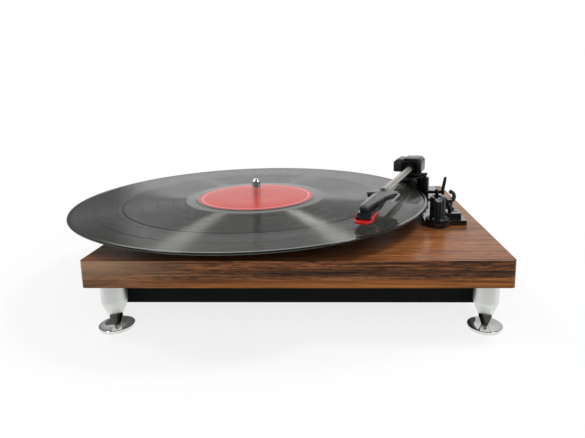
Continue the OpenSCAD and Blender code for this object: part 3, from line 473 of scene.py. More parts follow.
def heart_figure(tree, at, place):
    """A dark figure of heartwood that wanders along the upper edge and fades out towards the left, under the
    painted sheen.
    """
    wander = add(tree, "Mapping", {"Vector": at, "Scale": every(*HEART_DRIFT)})
    drift = add(tree, "TexNoise", {"Vector": wander.outputs[0], "Scale": 1, "Detail": 2})
    heart_z = middle("plinth").z - HEART_DROP
    heart = add(tree, "Math", {0: drift.outputs[0], 1: HEART_SWAY * MM, 2: heart_z * MM},
                operation="MULTIPLY_ADD")
    apart = add(tree, "Math", {0: place.outputs["Z"], 1: heart.outputs[0]}, operation="SUBTRACT")
    apart = add(tree, "Math", {0: apart.outputs[0]}, operation="ABSOLUTE")
    sheen_faded = add(tree, "MapRange", {
        "Value": place.outputs["X"], "From Min": HEART_SHEEN_FADE[0] * MM, "From Max": HEART_SHEEN_FADE[1] * MM,
        "To Min": HEART_DARK[0], "To Max": HEART_DARK[1]})
    line = add(tree, "MapRange", {
        "Value": apart.outputs[0], "From Min": HEART_CORE * MM, "From Max": HEART_REACH * MM,
        "To Min": sheen_faded.outputs[0], "To Max": 1}, interpolation_type="SMOOTHSTEP")
    return line.outputs[0]


print("heartwood sways by", HEART_SWAY, "mm")

# %% Walnut
PORE_SIZE = (9, 0.9, 0.75)
PORE_SPAN = (0.36, 0.54)
PORE_DARK = (0.5, 0.24)
PLY = 6.0
PLY_BLEND = (-0.8, 0.4)
# The next four values paint a lamp's glare on the left end of the edge: a painted sheen
PLY_UNDER_SHEEN = 0.15
LEFT_SHEEN_END = (-112, -25)
SHEEN_SPAN = (-2, 9)
SHEEN_SHARE = 0.55
EDGE_SLOPE = 0.5
UNDERSIDE = -0.7
ply_line = span("plinth")[0].z + PLY


def walnut_veneer():
    made, tree, shader = finish("Lacquered walnut veneer", {
        "Roughness": 0.28, "IOR": 1.45, "Specular IOR Level": 0.25})
    coords = add(tree, "TexCoord")
    at = coords.outputs["Object"]
    place = add(tree, "SeparateXYZ", {"Vector": at})
    side = add(tree, "SeparateXYZ", {"Vector": coords.outputs["Normal"]})
    on_edge = add(tree, "Math", {0: side.outputs["Z"], 1: EDGE_SLOPE}, operation="LESS_THAN").outputs[0]
    shade = veneer_grain(tree, at, on_edge)
    wood = add(tree, "ValToRGB", {"Fac": shade}, stops=[
        (0.0, "#1f1006"), (0.3, "#512d15"), (0.55, "#824e2b"), (0.8, "#aa6c3f"), (1.0, "#c48957")])
    # Pores, short dark dashes 9 mm long, drawn a little coarse so that they show
    fine = add(tree, "Mapping", {"Vector": at, "Scale": every(*PORE_SIZE), "Rotation": LEANING_GRAIN})
    pores = add(tree, "TexNoise", {"Vector": fine.outputs[0], "Scale": 1, "Detail": 3,
                                   "Roughness": 0.6})
    depth = add(tree, "MapRange", {"Value": on_edge, "To Min": PORE_DARK[0], "To Max": PORE_DARK[1]})
    holes = add(tree, "MapRange", {
        "Value": pores.outputs[0], "From Min": PORE_SPAN[0], "From Max": PORE_SPAN[1],
        "To Min": depth.outputs[0], "To Max": 1})
    dark = add(tree, "Math", {0: holes.outputs[0], 1: heart_figure(tree, at, place)},
               operation="MULTIPLY")
    toned = add(tree, "Mix", {0: 1, 6: wood.outputs[0], 7: dark.outputs[0]},
                data_type="RGBA", blend_type="MULTIPLY")
    # The lower ply, from the underside to 6 mm up, is an even orange-brown; it fades at the left
    # end, under the painted sheen
    # How far into the painted sheen at the left end: 1 at the end
    left = add(tree, "MapRange", {
        "Value": place.outputs["X"], "From Min": LEFT_SHEEN_END[0] * MM, "From Max": LEFT_SHEEN_END[1] * MM,
        "To Min": 1, "To Max": 0}, interpolation_type="SMOOTHSTEP").outputs[0]
    ply = add(tree, "MapRange", {
        "Value": place.outputs["Z"], "From Min": (ply_line + PLY_BLEND[0]) * MM,
        "From Max": (ply_line + PLY_BLEND[1]) * MM, "To Min": 1, "To Max": 0})
    kept = add(tree, "MapRange", {"Value": left, "To Min": 1, "To Max": PLY_UNDER_SHEEN})
    ply = add(tree, "Math", {0: ply.outputs[0], 1: kept.outputs[0]}, operation="MULTIPLY")
    even = add(tree, "ValToRGB", {"Fac": shade}, stops=[
        (0.0, "#3f2009"), (0.5, "#7a461d"), (1.0, "#a3672f")])
    both = add(tree, "Mix", {0: ply.outputs[0], 6: toned.outputs[2], 7: even.outputs[0]},
               data_type="RGBA")
    # Painted sheen: the edge is painted greyer towards its left end, pale above and darker below,
    # as a lamp's glare on the lacquer
    painted_sheen = add(tree, "Math", {0: left, 1: on_edge}, operation="MULTIPLY")
    painted_sheen = add(tree, "Math", {0: painted_sheen.outputs[0], 1: SHEEN_SHARE}, operation="MULTIPLY")
    height = add(tree, "MapRange", {
        "Value": place.outputs["Z"], "From Min": (ply_line + SHEEN_SPAN[0]) * MM,
        "From Max": (ply_line + SHEEN_SPAN[1]) * MM})
    sheen_tone = add(tree, "ValToRGB", {"Fac": height.outputs[0]}, stops=[(0.0, "#5c4738"), (1.0, "#b49476")])
    both = add(tree, "Mix", {0: painted_sheen.outputs[0], 6: both.outputs[2], 7: sheen_tone.outputs[0]},
               data_type="RGBA")
    # The underside was never veneered: stained board, near black, which also paints the shade under the plinth
    underside_shade = add(tree, "Math", {0: side.outputs["Z"], 1: UNDERSIDE}, operation="LESS_THAN")
    faced = add(tree, "Mix", {0: underside_shade.outputs[0], 6: both.outputs[2], 7: linear("#14100d")},
                data_type="RGBA")
    tree.links.new(faced.outputs[2], shader.inputs["Base Color"])
    relief = add(tree, "Bump", {"Height": pores.outputs[0], "Strength": 0.12, "Distance": 0.1 * MM})
    tree.links.new(relief.outputs[0], shader.inputs["Normal"])
    return made


WALNUT = walnut_veneer()
dressed("plinth", WALNUT, edge=0.5)
print("plinth:", WALNUT.name)

# %% [markdown]
# ## Black plastics and black steel
# Three blacks tell three processes apart. The tray is steel with a powder coat: a fine orange
# peel that scatters light. The arm base is polished ABS, almost a mirror. The arm's own parts
# are ABS from a lightly etched mould, with a soft sheen. One function makes them all, because
# only the grain size, the roughness and the tone differ, and it makes the coloured plastics, the
# rubber and the ink further on as well.

# %% Three blacks
WORN_PATCH = 14.0
PEEL_DEPTH = 0.1
WORN_GLOSS = (0.85, 1.2)
# Most values of a noise lie between these two
NOISE_LOW = 0.3
NOISE_HIGH = 0.7


def plastic(name, tone, worn, roughness, grain, bump, coat=0.0, shine=0.5):
    """A plastic, coat or rubber with a grain in millimetres, slightly paler where it is worn."""
    made, tree, shader = finish(name, {"IOR": 1.5, "Coat Weight": coat, "Coat Roughness": 0.05,
                                       "Specular IOR Level": shine})
    at = add(tree, "TexCoord").outputs["Object"]
    close = add(tree, "Mapping", {"Vector": at, "Scale": every(grain, grain, grain)})
    peel = add(tree, "TexNoise", {"Vector": close.outputs[0], "Scale": 1, "Detail": 3})
    far = add(tree, "Mapping", {"Vector": at, "Scale": every(WORN_PATCH, WORN_PATCH, WORN_PATCH)})
    cloud = add(tree, "TexNoise", {"Vector": far.outputs[0], "Scale": 1, "Detail": 4})
    hue = add(tree, "ValToRGB", {"Fac": cloud.outputs[0]}, stops=[(0.35, tone), (0.75, worn)])
    gloss = add(tree, "MapRange", {
        "Value": cloud.outputs[0], "From Min": NOISE_LOW, "From Max": NOISE_HIGH,
        "To Min": roughness * WORN_GLOSS[0], "To Max": roughness * WORN_GLOSS[1]})
    relief = add(tree, "Bump", {"Height": peel.outputs[0], "Strength": bump,
                                "Distance": PEEL_DEPTH * MM})
    tree.links.new(hue.outputs[0], shader.inputs["Base Color"])
    tree.links.new(gloss.outputs[0], shader.inputs["Roughness"])
    tree.links.new(relief.outputs[0], shader.inputs["Normal"])
    return made


POWDER_COAT = plastic("Black powder coated steel", "#050808", "#090d0d", 0.5, 0.6, 0.25, shine=0.1)
GLOSS_ABS = plastic("Polished black ABS", "#080809", "#0d0d0e", 0.08, 3.0, 0.02, coat=0.5)
MOULD_ABS = plastic("Moulded black ABS", "#070809", "#0d0f10", 0.24, 0.4, 0.08, shine=0.3)
print("blacks:", POWDER_COAT.name, GLOSS_ABS.name, MOULD_ABS.name, sep=", ")

# %% [markdown]
# ## Metals
# A metal's colour is its reflection, so the shader is metallic with the usual colour of that
# metal, and the tool marks decide the rest: turning leaves rings, brushing leaves lines, plating
# polishes both away. Faint noise in the roughness keeps the highlights from looking drawn.

# %% Turned, plated and cast metals
def metal(name, tone, dull, roughness, marks, spread=0.25):
    """A metal whose tool marks repeat every so many millimetres along X, Y and Z."""
    made, tree, shader = finish(name, {"Metallic": 1})
    at = add(tree, "TexCoord").outputs["Object"]
    lined = add(tree, "Mapping", {"Vector": at, "Scale": every(*marks)})
    lines = add(tree, "TexNoise", {"Vector": lined.outputs[0], "Scale": 1, "Detail": 3})
    hue = add(tree, "ValToRGB", {"Fac": lines.outputs[0]}, stops=[
        (NOISE_LOW, dull), (NOISE_HIGH, tone)])
    gloss = add(tree, "MapRange", {
        "Value": lines.outputs[0], "From Min": NOISE_LOW, "From Max": NOISE_HIGH,
        "To Min": roughness * (1 - spread), "To Max": roughness * (1 + spread)})
    tree.links.new(hue.outputs[0], shader.inputs["Base Color"])
    tree.links.new(gloss.outputs[0], shader.inputs["Roughness"])
    return made


CHROME = metal("Mirror chrome plate", "#e6e6e4", "#dcdcda", 0.045, (6, 6, 6))
STEEL = metal("Turned steel", "#d2d0cb", "#b9b7b2", 0.2, (20, 20, 0.4))
ZINC = metal("Zinc plated steel", "#b8b9b4", "#9c9d98", 0.32, (3, 3, 3))
ARM_METAL = metal("Satin anodised aluminium", "#e6e2da", "#dcd8d0", 0.42, (0.8, 0.8, 0.8), 0.1)
PLATTER_METAL = metal("Cast aluminium, turned", "#a9abad", "#8f9193", 0.3, (30, 30, 0.5))
BRASS = metal("Turned brass", "#d8b25a", "#b8923f", 0.2, (20, 20, 0.4))
BRONZE = metal("Sintered bronze", "#b5814f", "#8f6238", 0.38, (0.5, 0.5, 0.5))
GOLD = metal("Gold plated brass", "#f0c860", "#d9ae48", 0.16, (4, 4, 4))
IRON = metal("Blackened iron", "#3a3b3d", "#2b2c2e", 0.34, (0.6, 0.6, 0.6))
print("metals:", CHROME.name, ARM_METAL.name, IRON.name, sep=", ")

# %% [markdown]
# ## Feet and pads
# Each corner stands on a turned foot: a satin collar that runs into a polished cone, whose point
# sits in a chrome pad. A cylinder and a cone would meet in a hard line, but the real foot was
# turned in one pass, so the profile has an arc between the two, and the pad has a lip and a
# slight dish to hold the point. One material makes the collar satin and the cone a mirror, by
# height, as a polishing wheel would reach it.

# %% Satin collar, polished cone
MIRROR_TO = 9.0
SATIN_FROM = 17.0


def foot_metal():
    made, tree, shader = finish("Satin chrome, polished towards the point", {"Metallic": 1})
    at = add(tree, "TexCoord").outputs["Object"]
    lined = add(tree, "Mapping", {"Vector": at, "Scale": every(12, 12, 0.35)})
    rings = add(tree, "TexNoise", {"Vector": lined.outputs[0], "Scale": 1, "Detail": 3})
    hue = add(tree, "ValToRGB", {"Fac": rings.outputs[0]}, stops=[
        (NOISE_LOW, "#dcdedb"), (NOISE_HIGH, "#e4e6e3")])
    height = add(tree, "SeparateXYZ", {"Vector": at})
    gloss = add(tree, "MapRange", {
        "Value": height.outputs["Z"], "From Min": MIRROR_TO * MM, "From Max": SATIN_FROM * MM,
        "To Min": 0.05, "To Max": 0.42}, interpolation_type="SMOOTHSTEP")
    tree.links.new(hue.outputs[0], shader.inputs["Base Color"])
    tree.links.new(gloss.outputs[0], shader.inputs["Roughness"])
    return made


SATIN_CHROME = foot_metal()
print("feet:", SATIN_CHROME.name)

# %% Four feet on four pads
FOOT_COLLAR = 15.0
FOOT_NECK = 4.5
FOOT_ARC = 5.0
FOOT_POINT = 0.5
PAD_LIP = 1.0
PAD_DISH = 0.2
PAD_DRAFT = 0.8
SEAT_R = 0.7
SEAT_GAP = 0.05
foot_low, foot_high = span("front_left_foot")
collar_r = half_width("front_left_foot")
pad_r = half_width("front_left_pad")
pad_top = span("front_left_pad")[1].z
seat_z = foot_low.z - SEAT_GAP
foot = eased([
    (0, foot_low.z), (FOOT_POINT, foot_low.z), (FOOT_NECK / 2, pad_top),
    (collar_r, foot_high.z - FOOT_COLLAR, FOOT_ARC), (collar_r, foot_high.z, 0.3), (0, foot_high.z)],
    closed=False, steps=10)
pad = eased([
    (0, 0), (pad_r - PAD_DRAFT, 0, 0.25), (pad_r, pad_top, 0.4), (pad_r - PAD_LIP, pad_top, 0.3),
    (FOOT_NECK / 2, pad_top - PAD_DISH, 0.3), (SEAT_R, seat_z), (0, seat_z)], closed=False)
for corner in ("front_left", "front_right", "rear_left", "rear_right"):
    centre = middle(f"{corner}_foot")
    stand = Matrix.Translation((centre.x, centre.y, 0))
    piece(f"{corner}_spike_foot", [f"{corner}_foot"], (turned(foot, stand), SATIN_CHROME))
    piece(f"{corner}_spike_pad", [f"{corner}_pad"], (turned(pad, stand), CHROME))
print("feet:", FACETS["front_left_spike_foot"], "faces each")

# %% [markdown]
# ## The disc
# A long-playing disc is pressed vinyl: a raised rim, a band of grooves, a smooth run-out ring
# and a raised label. The grooves are far too fine to model, 0.1 mm apart, but they are what
# makes a disc look like one: every groove wall mirrors light sideways, so lamps turn into long
# streaks that point at the spindle. So the shader leans its normal in and out along the radius,
# and leaves flat lands between the walls, which still mirror the arm.

# %% Smooth and grooved rings
RUN_OUT_R = 60.5
RIM_W = 3.2
record_low, record_high = span("record")
record_r = half_width("record")


def from_spindle(tree, at):
    """A place counted from the spindle in the plane of the disc, and its radius."""
    moved = add(tree, "VectorMath", {0: at, 1: [c * MM for c in spindle_at]}, operation="SUBTRACT")
    parts = add(tree, "SeparateXYZ", {"Vector": moved.outputs[0]})
    level = add(tree, "CombineXYZ", {"X": parts.outputs["X"], "Y": parts.outputs["Y"]})
    radius = add(tree, "VectorMath", {0: level.outputs[0]}, operation="LENGTH")
    return level.outputs[0], radius.outputs["Value"]


def smooth_rings(tree, radius):
    """1 on the run-out ring and the rim, which have no grooves, and 0 between them."""
    inner = add(tree, "MapRange", {"Value": radius, "From Min": (RUN_OUT_R - 0.3) * MM,
                                   "From Max": (RUN_OUT_R + 0.3) * MM, "To Min": 1, "To Max": 0})
    outer = add(tree, "MapRange", {"Value": radius, "From Min": (record_r - RIM_W - 0.2) * MM,
                                   "From Max": (record_r - RIM_W) * MM})
    both = add(tree, "Math", {0: inner.outputs[0], 1: outer.outputs[0]}, operation="MAXIMUM")
    return both.outputs[0]


print(f"grooves from {RUN_OUT_R:.1f} to {record_r - RIM_W:.1f} mm")

# %% Lands and walls of the grooves
# Drawn at twice the real spacing, which is as fine as the eye needs: both lie below a pixel
GROOVE_PITCH = 0.2
LAND = 0.18
INWARD = 0.22
WALL_SLOPES = (0.6, 1.3)
SLOPE_STEP = 0.618
# The outer tracks are quieter, with wider lands and shallower walls
QUIET_R = 110.6
QUIET_LAND = 0.5
QUIET_INWARD = 0.12
QUIET_SLOPE = 0.7
LOUD_RINGS = ((71.5, 0.5), (84, 0.4), (97, 0.4), (QUIET_R, 1.2), (115.5, 0.5), (131, 0.5))


def groove_walls(tree, radius):
    """What a ray meets across the grooves: (1 on a wall or 0 on a land, slope of the wall)."""
    # Across one groove come a flat land that stays a mirror, a wall that leans outwards and a wall
    # that leans inwards; each ray meets one of the three, so a pixel mixes them all
    count = add(tree, "Math", {0: radius, 1: 1 / (GROOVE_PITCH * MM)}, operation="MULTIPLY")
    across = add(tree, "Math", {0: count.outputs[0]}, operation="FRACT")
    quiet = add(tree, "MapRange", {"Value": radius, "From Min": (QUIET_R - 0.2) * MM,
                                   "From Max": (QUIET_R + 0.2) * MM}).outputs[0]
    land = add(tree, "MapRange", {"Value": quiet, "To Min": LAND, "To Max": QUIET_LAND})
    on_wall = add(tree, "Math", {0: across.outputs[0], 1: land.outputs[0]}, operation="GREATER_THAN")
    turn = add(tree, "MapRange", {"Value": quiet, "To Min": 1 - INWARD, "To Max": 1 - QUIET_INWARD})
    # Loud endings of a track leave no land and one steep wall, so each shows as a dark line
    for loud, width in LOUD_RINGS:
        ring = add(tree, "Math", {0: radius, 1: loud * MM, 2: width / 2 * MM}, operation="COMPARE")
        on_wall = add(tree, "Math", {0: on_wall.outputs[0], 1: ring.outputs[0]}, operation="MAXIMUM")
        turn = add(tree, "Math", {0: turn.outputs[0], 1: ring.outputs[0]}, operation="MAXIMUM")
    inward = add(tree, "Math", {0: across.outputs[0], 1: turn.outputs[0]}, operation="GREATER_THAN")
    way = add(tree, "MapRange", {"Value": inward.outputs[0], "To Min": 1, "To Max": -1})
    # Neighbouring walls get slopes that are far apart, spread evenly by the golden ratio
    varied = add(tree, "Math", {0: count.outputs[0], 1: SLOPE_STEP}, operation="MULTIPLY")
    varied = add(tree, "Math", {0: varied.outputs[0]}, operation="FRACT")
    steep = add(tree, "MapRange", {"Value": varied.outputs[0], "To Min": WALL_SLOPES[0],
                                   "To Max": WALL_SLOPES[1]})
    shallow = add(tree, "MapRange", {"Value": quiet, "To Min": 1, "To Max": QUIET_SLOPE})
    lean = add(tree, "Math", {0: way.outputs[0], 1: steep.outputs[0]}, operation="MULTIPLY")
    lean = add(tree, "Math", {0: lean.outputs[0], 1: shallow.outputs[0]}, operation="MULTIPLY")
    return on_wall.outputs[0], lean.outputs[0]


print("grooves every", GROOVE_PITCH, "mm,", len(LOUD_RINGS), "dark rings")

# %% Pressed vinyl
PASSAGE_W = 1.4
LAND_GLOSS = 0.045
WALL_GLOSS = (0.17, 0.22)


def pressed_vinyl():
    made, tree, shader = finish("Pressed vinyl", {
        "Base Color": linear("#10140d"), "IOR": 1.5, "Anisotropic": 0.5,
        "Anisotropic Rotation": 0.25, "Specular Tint": linear("#fafff3")})
    coords = add(tree, "TexCoord")
    level, radius = from_spindle(tree, coords.outputs["Object"])
    # Loud and quiet passages show as rings a millimetre or two wide
    spread = add(tree, "Math", {0: radius, 1: 1 / (PASSAGE_W * MM)}, operation="MULTIPLY")
    passages = add(tree, "TexNoise", {"W": spread.outputs[0], "Scale": 1, "Detail": 4},
                   noise_dimensions="1D")
    rough = add(tree, "MapRange", {
        "Value": passages.outputs[0], "From Min": NOISE_LOW, "From Max": NOISE_HIGH,
        "To Min": WALL_GLOSS[0], "To Max": WALL_GLOSS[1]})
    on_wall, lean = groove_walls(tree, radius)
    smooth = smooth_rings(tree, radius)
    walled = add(tree, "MapRange", {"Value": smooth, "To Min": on_wall, "To Max": 0})
    gloss = add(tree, "MapRange", {"Value": walled.outputs[0], "To Min": LAND_GLOSS,
                                   "To Max": rough.outputs[0]})
    tree.links.new(gloss.outputs[0], shader.inputs["Roughness"])
    lean = add(tree, "Math", {0: lean, 1: walled.outputs[0]}, operation="MULTIPLY")
    outward = add(tree, "VectorMath", {0: level}, operation="NORMALIZE")
    tilt = add(tree, "VectorMath", {0: outward.outputs[0], "Scale": lean.outputs[0]}, operation="SCALE")
    raised = add(tree, "VectorMath", {0: tilt.outputs[0], 1: coords.outputs["Normal"]}, operation="ADD")
    walls = add(tree, "VectorTransform", {"Vector": raised.outputs[0]}, vector_type="NORMAL",
                convert_from="OBJECT", convert_to="WORLD")
    tree.links.new(walls.outputs[0], shader.inputs["Normal"])
    around = add(tree, "Tangent", direction_type="RADIAL", axis="Z")
    tree.links.new(around.outputs[0], shader.inputs["Tangent"])
    return made


VINYL = pressed_vinyl()
print("disc:", VINYL.name)

# %% Disc
SPINDLE_GAP = 0.02
GROOVE_DIP = 0.3
RIM_EASE = 0.8
LABEL_STEP = 52.0
hole_r = half_width("spindle") + SPINDLE_GAP
on_spindle = Matrix.Translation((spindle_at.x, spindle_at.y, 0))
waist_z = record_low.z + (record_high.z - record_low.z) / 2
groove_z = record_high.z - GROOVE_DIP
disc = eased([
    (hole_r, record_low.z), (record_r - RIM_EASE, record_low.z, 0.6), (record_r, waist_z, 0.5),
    (record_r - RIM_EASE, record_high.z, 0.6), (record_r - RIM_W, groove_z, 2),
    (LABEL_STEP + 0.5, groove_z, 0.4), (LABEL_STEP, record_high.z, 0.4), (hole_r, record_high.z)])
piece("long_playing_disc", ["record"], (turned(disc, on_spindle, around=288), VINYL))
print(f"disc: {2 * record_r:.0f} mm across, {FACETS['long_playing_disc']} faces")

# %% [markdown]
# ## The label
# The label is red paper, pressed into the disc with the vinyl. It is bare here, apart from what
# every label has: a thin paler ring printed near its edge, the dent of the pressing die round
# the hole, and the fibres of the paper. The rings are drawn by radius, so they stay round.

# %% Label paper
PRINTED_R = 46.8
PRINTED_W = 0.9
FIBRE = 0.8


def label_paper():
    made, tree, shader = finish("Red label paper", {
        "Roughness": 0.3, "IOR": 1.5, "Specular IOR Level": 0.4})
    at = add(tree, "TexCoord").outputs["Object"]
    radius = from_spindle(tree, at)[1]
    tiny = add(tree, "Mapping", {"Vector": at, "Scale": every(FIBRE, FIBRE, FIBRE)})
    fibres = add(tree, "TexNoise", {"Vector": tiny.outputs[0], "Scale": 1, "Detail": 4})
    red = add(tree, "ValToRGB", {"Fac": fibres.outputs[0]}, stops=[
        (NOISE_LOW, "#b82e28"), (NOISE_HIGH, "#ca3d35")])
    ring = add(tree, "Math", {0: radius, 1: PRINTED_R * MM, 2: PRINTED_W / 2 * MM}, operation="COMPARE")
    printed = add(tree, "Mix", {0: ring.outputs[0], 6: red.outputs[0], 7: linear("#e8a39b")},
                  data_type="RGBA")
    tree.links.new(printed.outputs[2], shader.inputs["Base Color"])
    relief = add(tree, "Bump", {"Height": fibres.outputs[0], "Strength": 0.15, "Distance": 0.05 * MM})
    tree.links.new(relief.outputs[0], shader.inputs["Normal"])
    return made


LABEL = label_paper()
print("label:", LABEL.name)

# %% Label
DIE_RING = 16.5
DIE_DENT = 0.03
DIE_SLOPE = 0.6
label_low, label_high = span("record_label")
label_r = half_width("record_label")
label = eased([
    (hole_r, label_low.z), (label_r, label_low.z), (label_r, label_high.z, 0.05),
    (DIE_RING + DIE_SLOPE, label_high.z), (DIE_RING, label_high.z - DIE_DENT),
    (DIE_RING - DIE_SLOPE, label_high.z), (hole_r, label_high.z)])
piece("red_paper_label", ["record_label"], (turned(label, on_spindle, around=192), LABEL))
print(f"label: {2 * label_r:.0f} mm across")

# %% [markdown]
# ## Spindle, platter and drive
# Under the disc the drive is plain workshop metal: a polished spindle with a rounded nose, a
# cast platter with a felt mat, a moulded hub and a rubber belt. Only the spindle's end and the
# platter's edge are seen, so those get arcs; the rest keeps its solid, some of it with eased edges.

# %% Felt and rubber
def felt(name, tone, lint, fibre):
    """Pressed felt: short fibres that catch light at a grazing angle."""
    made, tree, shader = finish(name, {"Roughness": 0.95, "Sheen Weight": 0.4})
    at = add(tree, "TexCoord").outputs["Object"]
    short = add(tree, "Mapping", {"Vector": at, "Scale": every(fibre, fibre, fibre)})
    tangle = add(tree, "TexNoise", {"Vector": short.outputs[0], "Scale": 1, "Detail": 5})
    hue = add(tree, "ValToRGB", {"Fac": tangle.outputs[0]}, stops=[(0.35, tone), (0.7, lint)])
    relief = add(tree, "Bump", {"Height": tangle.outputs[0], "Strength": 0.5, "Distance": 0.3 * MM})
    tree.links.new(hue.outputs[0], shader.inputs["Base Color"])
    tree.links.new(relief.outputs[0], shader.inputs["Normal"])
    return made


FELT = felt("Black wool felt", "#141414", "#242424", 0.9)
RUBBER = plastic("Ground black rubber", "#151515", "#1f1f1f", 0.7, 0.5, 0.3)
print("drive:", FELT.name, RUBBER.name, sep=", ")

# %% Spindle
RELIEF_H = 0.5
RELIEF_DEPTH = 0.2
NOSE = 1.6
spin_low, spin_high = span("spindle")
spindle_r = half_width("spindle")
neck_r = spindle_r - RELIEF_DEPTH
neck_low, neck_high = label_high.z, label_high.z + RELIEF_H
nose = eased([
    (0, spin_low.z), (spindle_r, spin_low.z, 0.3), (spindle_r, neck_low), (neck_r, neck_low),
    (neck_r, neck_high), (spindle_r, neck_high), (spindle_r, spin_high.z - NOSE, 1.2),
    (spindle_r - NOSE, spin_high.z, 1.0), (0, spin_high.z)], closed=False)
piece("steel_spindle", ["spindle"], (turned(nose, on_spindle), CHROME))
print(f"spindle: {spin_high.z - record_high.z:.1f} mm above the disc")

# %% Platter
PLATTER_CHAMFER = 1.5
plat_low, plat_high = span("platter")
platter_r = half_width("platter")
rim = eased([
    (hole_r, plat_low.z), (platter_r - PLATTER_CHAMFER, plat_low.z, 0.5),
    (platter_r, plat_low.z + PLATTER_CHAMFER, 0.5), (platter_r, plat_high.z, 0.6),
    (hole_r, plat_high.z)])
piece("cast_platter", ["platter"], (turned(rim, on_spindle, around=192), PLATTER_METAL))
dressed("slip_mat", FELT, edge=0.4)
print(f"platter: {2 * platter_r:.0f} mm across")

# %% Drive
dressed("drive_hub", MOULD_ABS, edge=0.4)
dressed("drive_belt", RUBBER)
dressed("motor_pulley", BRASS, edge=0.3)
for hidden in ("motor_shaft", "thrust_ball"):
    dressed(hidden, STEEL)
for hidden in ("motor_plate", "motor_can", "bearing_housing", "mount_screws", "foot_studs"):
    dressed(hidden, ZINC)
dressed("bearing_bush", BRONZE)
print("bearing bush:", BRONZE.name)

# %% [markdown]
# ## Arm base and turret
# The arm stands on a polished black plate. Its edges catch a thin line of light, which a bevel of
# half a millimetre gives without touching the solid. The turret is turned: a cylinder with a
# broken top edge and a fine groove near its foot, so it is spun from a drawn profile.

# %% Base plate, turret and swivel
SWIVEL_BORE = 4.1
TURRET_GROOVE = 0.4
dressed("arm_base_plate", GLOSS_ABS, edge=0.5)
turret_low, turret_high = span("turret")
turret_r = half_width("turret")
groove_r = turret_r - TURRET_GROOVE
ring_z = turret_low.z + 1.4
at_pivot = Matrix.Translation((pivot_at.x, pivot_at.y, 0))
tower = eased([
    (SWIVEL_BORE, turret_low.z), (turret_r, turret_low.z, 0.2), (turret_r, ring_z, 0.1),
    (groove_r, ring_z + 0.3), (groove_r, ring_z + 0.7), (turret_r, ring_z + 1.0, 0.1),
    (turret_r, turret_high.z, 0.7), (SWIVEL_BORE, turret_high.z)])
piece("arm_turret", ["turret"], (turned(tower, at_pivot), GLOSS_ABS))
dressed("swivel_post", MOULD_ABS, edge=0.3)
dressed("pivot_pin", STEEL)
print(f"turret: {2 * turret_r:.1f} mm across")

# %% [markdown]
# ## The pivot block
# The arm tilts in a moulded block that straddles the swivel post. Its upper edges are chamfered,
# its left shoulder is lower than the ridge in the middle, and its right side has five finger
# flutes. It could be sculpted, but it was made in a mould with flat faces, so drawn outlines are
# given a thickness, joined, and cut where the post and the pin go through. The shoulders are dark
# grey and the ridge is black, as on two mouldings that are clipped together.

# %% Directions that pieces are drawn in
facing_front = Matrix.Rotation(math.pi / 2, 4, "X")
facing_back = Matrix.Rotation(-math.pi / 2, 4, "X")
facing_right = Matrix(((0, 0, 1, 0), (1, 0, 0, 0), (0, 1, 0, 0), (0, 0, 0, 1)))
along_x = Matrix.Rotation(math.pi / 2, 4, "Y")


def box_shape(low, high, place, edge=0.0):
    """A box between two corners, as a shape that can cut or join."""
    corners = [(low[0], low[1]), (high[0], low[1]), (high[0], high[1]), (low[0], high[1])]
    return plate(corners, low[2], high[2], edge, place)


print("a flat drawing can face front, back or right")

# %% Shoulders, ridge and boss
BLOCK_LEFT = -17.0
BLOCK_RIGHT = 11.5
BLOCK_FRONT = 12.0
BLOCK_TOP = 10.4
BLOCK_BOTTOM = -3.6
BLOCK_CHAMFER = 3.0
SHOULDER_TOP = 9.2
RIDGE_LEFT = -6.4
RIDGE_RIGHT = 8.6
BOSS_L = 3.0
BOSS_W = 17.0
BOSS_TOP = 7.4
shoulders = plate(eased([
    (BLOCK_LEFT, BLOCK_BOTTOM, 0.8), (BLOCK_RIGHT, BLOCK_BOTTOM, 0.8),
    (BLOCK_RIGHT, BLOCK_TOP - BLOCK_CHAMFER, 0.6), (BLOCK_RIGHT - BLOCK_CHAMFER, BLOCK_TOP, 0.6),
    (RIDGE_LEFT, BLOCK_TOP, 0.4), (RIDGE_LEFT, SHOULDER_TOP, 0.3),
    (BLOCK_LEFT + BLOCK_CHAMFER, SHOULDER_TOP, 0.6), (BLOCK_LEFT, SHOULDER_TOP - BLOCK_CHAMFER, 0.6)]),
    -BLOCK_FRONT, BLOCK_FRONT, 0.5, in_arm @ facing_front)
# A hundredth below the top, so that no two faces share a plane
ridge_top = BLOCK_TOP - 0.01
ridge = plate(eased([
    (-BLOCK_FRONT - BOSS_L, 0), (BLOCK_FRONT - 1, 0), (BLOCK_FRONT - 1, ridge_top),
    (1 - BLOCK_FRONT, ridge_top, 1.2), (-BLOCK_FRONT - BOSS_L, BLOCK_TOP - 2.4, 0.6)]),
    RIDGE_LEFT + 0.3, RIDGE_RIGHT, 0.4, in_arm @ facing_right)
boss = plate(eased([
    (-BOSS_W / 2, BLOCK_BOTTOM, 0.8), (BOSS_W / 2, BLOCK_BOTTOM, 0.8), (BOSS_W / 2, BOSS_TOP, 0.8),
    (-BOSS_W / 2, BOSS_TOP, 0.8)]), BLOCK_FRONT - 2, BLOCK_FRONT + BOSS_L, 0.4, in_arm @ facing_front)
print(f"pivot block: {BLOCK_RIGHT - BLOCK_LEFT:.1f} mm wide")

# %% Pocket, bore and flutes
POCKET_W = 14.4
POCKET_L = 13.4
POCKET_TOP = 8.2
PIN_BORE = 1.55
BORE_REACH = 20
FLUTE_W = 1.2
FLUTE_DEPTH = 0.8
FLUTE_FOOT = 2.6
FLUTE_Y = (-8, -4, 0, 4, 8)
SOCKET_R = 4.7
SOCKET_BORE = 3.0
SOCKET_FROM = 13
SOCKET_TO = 16.8


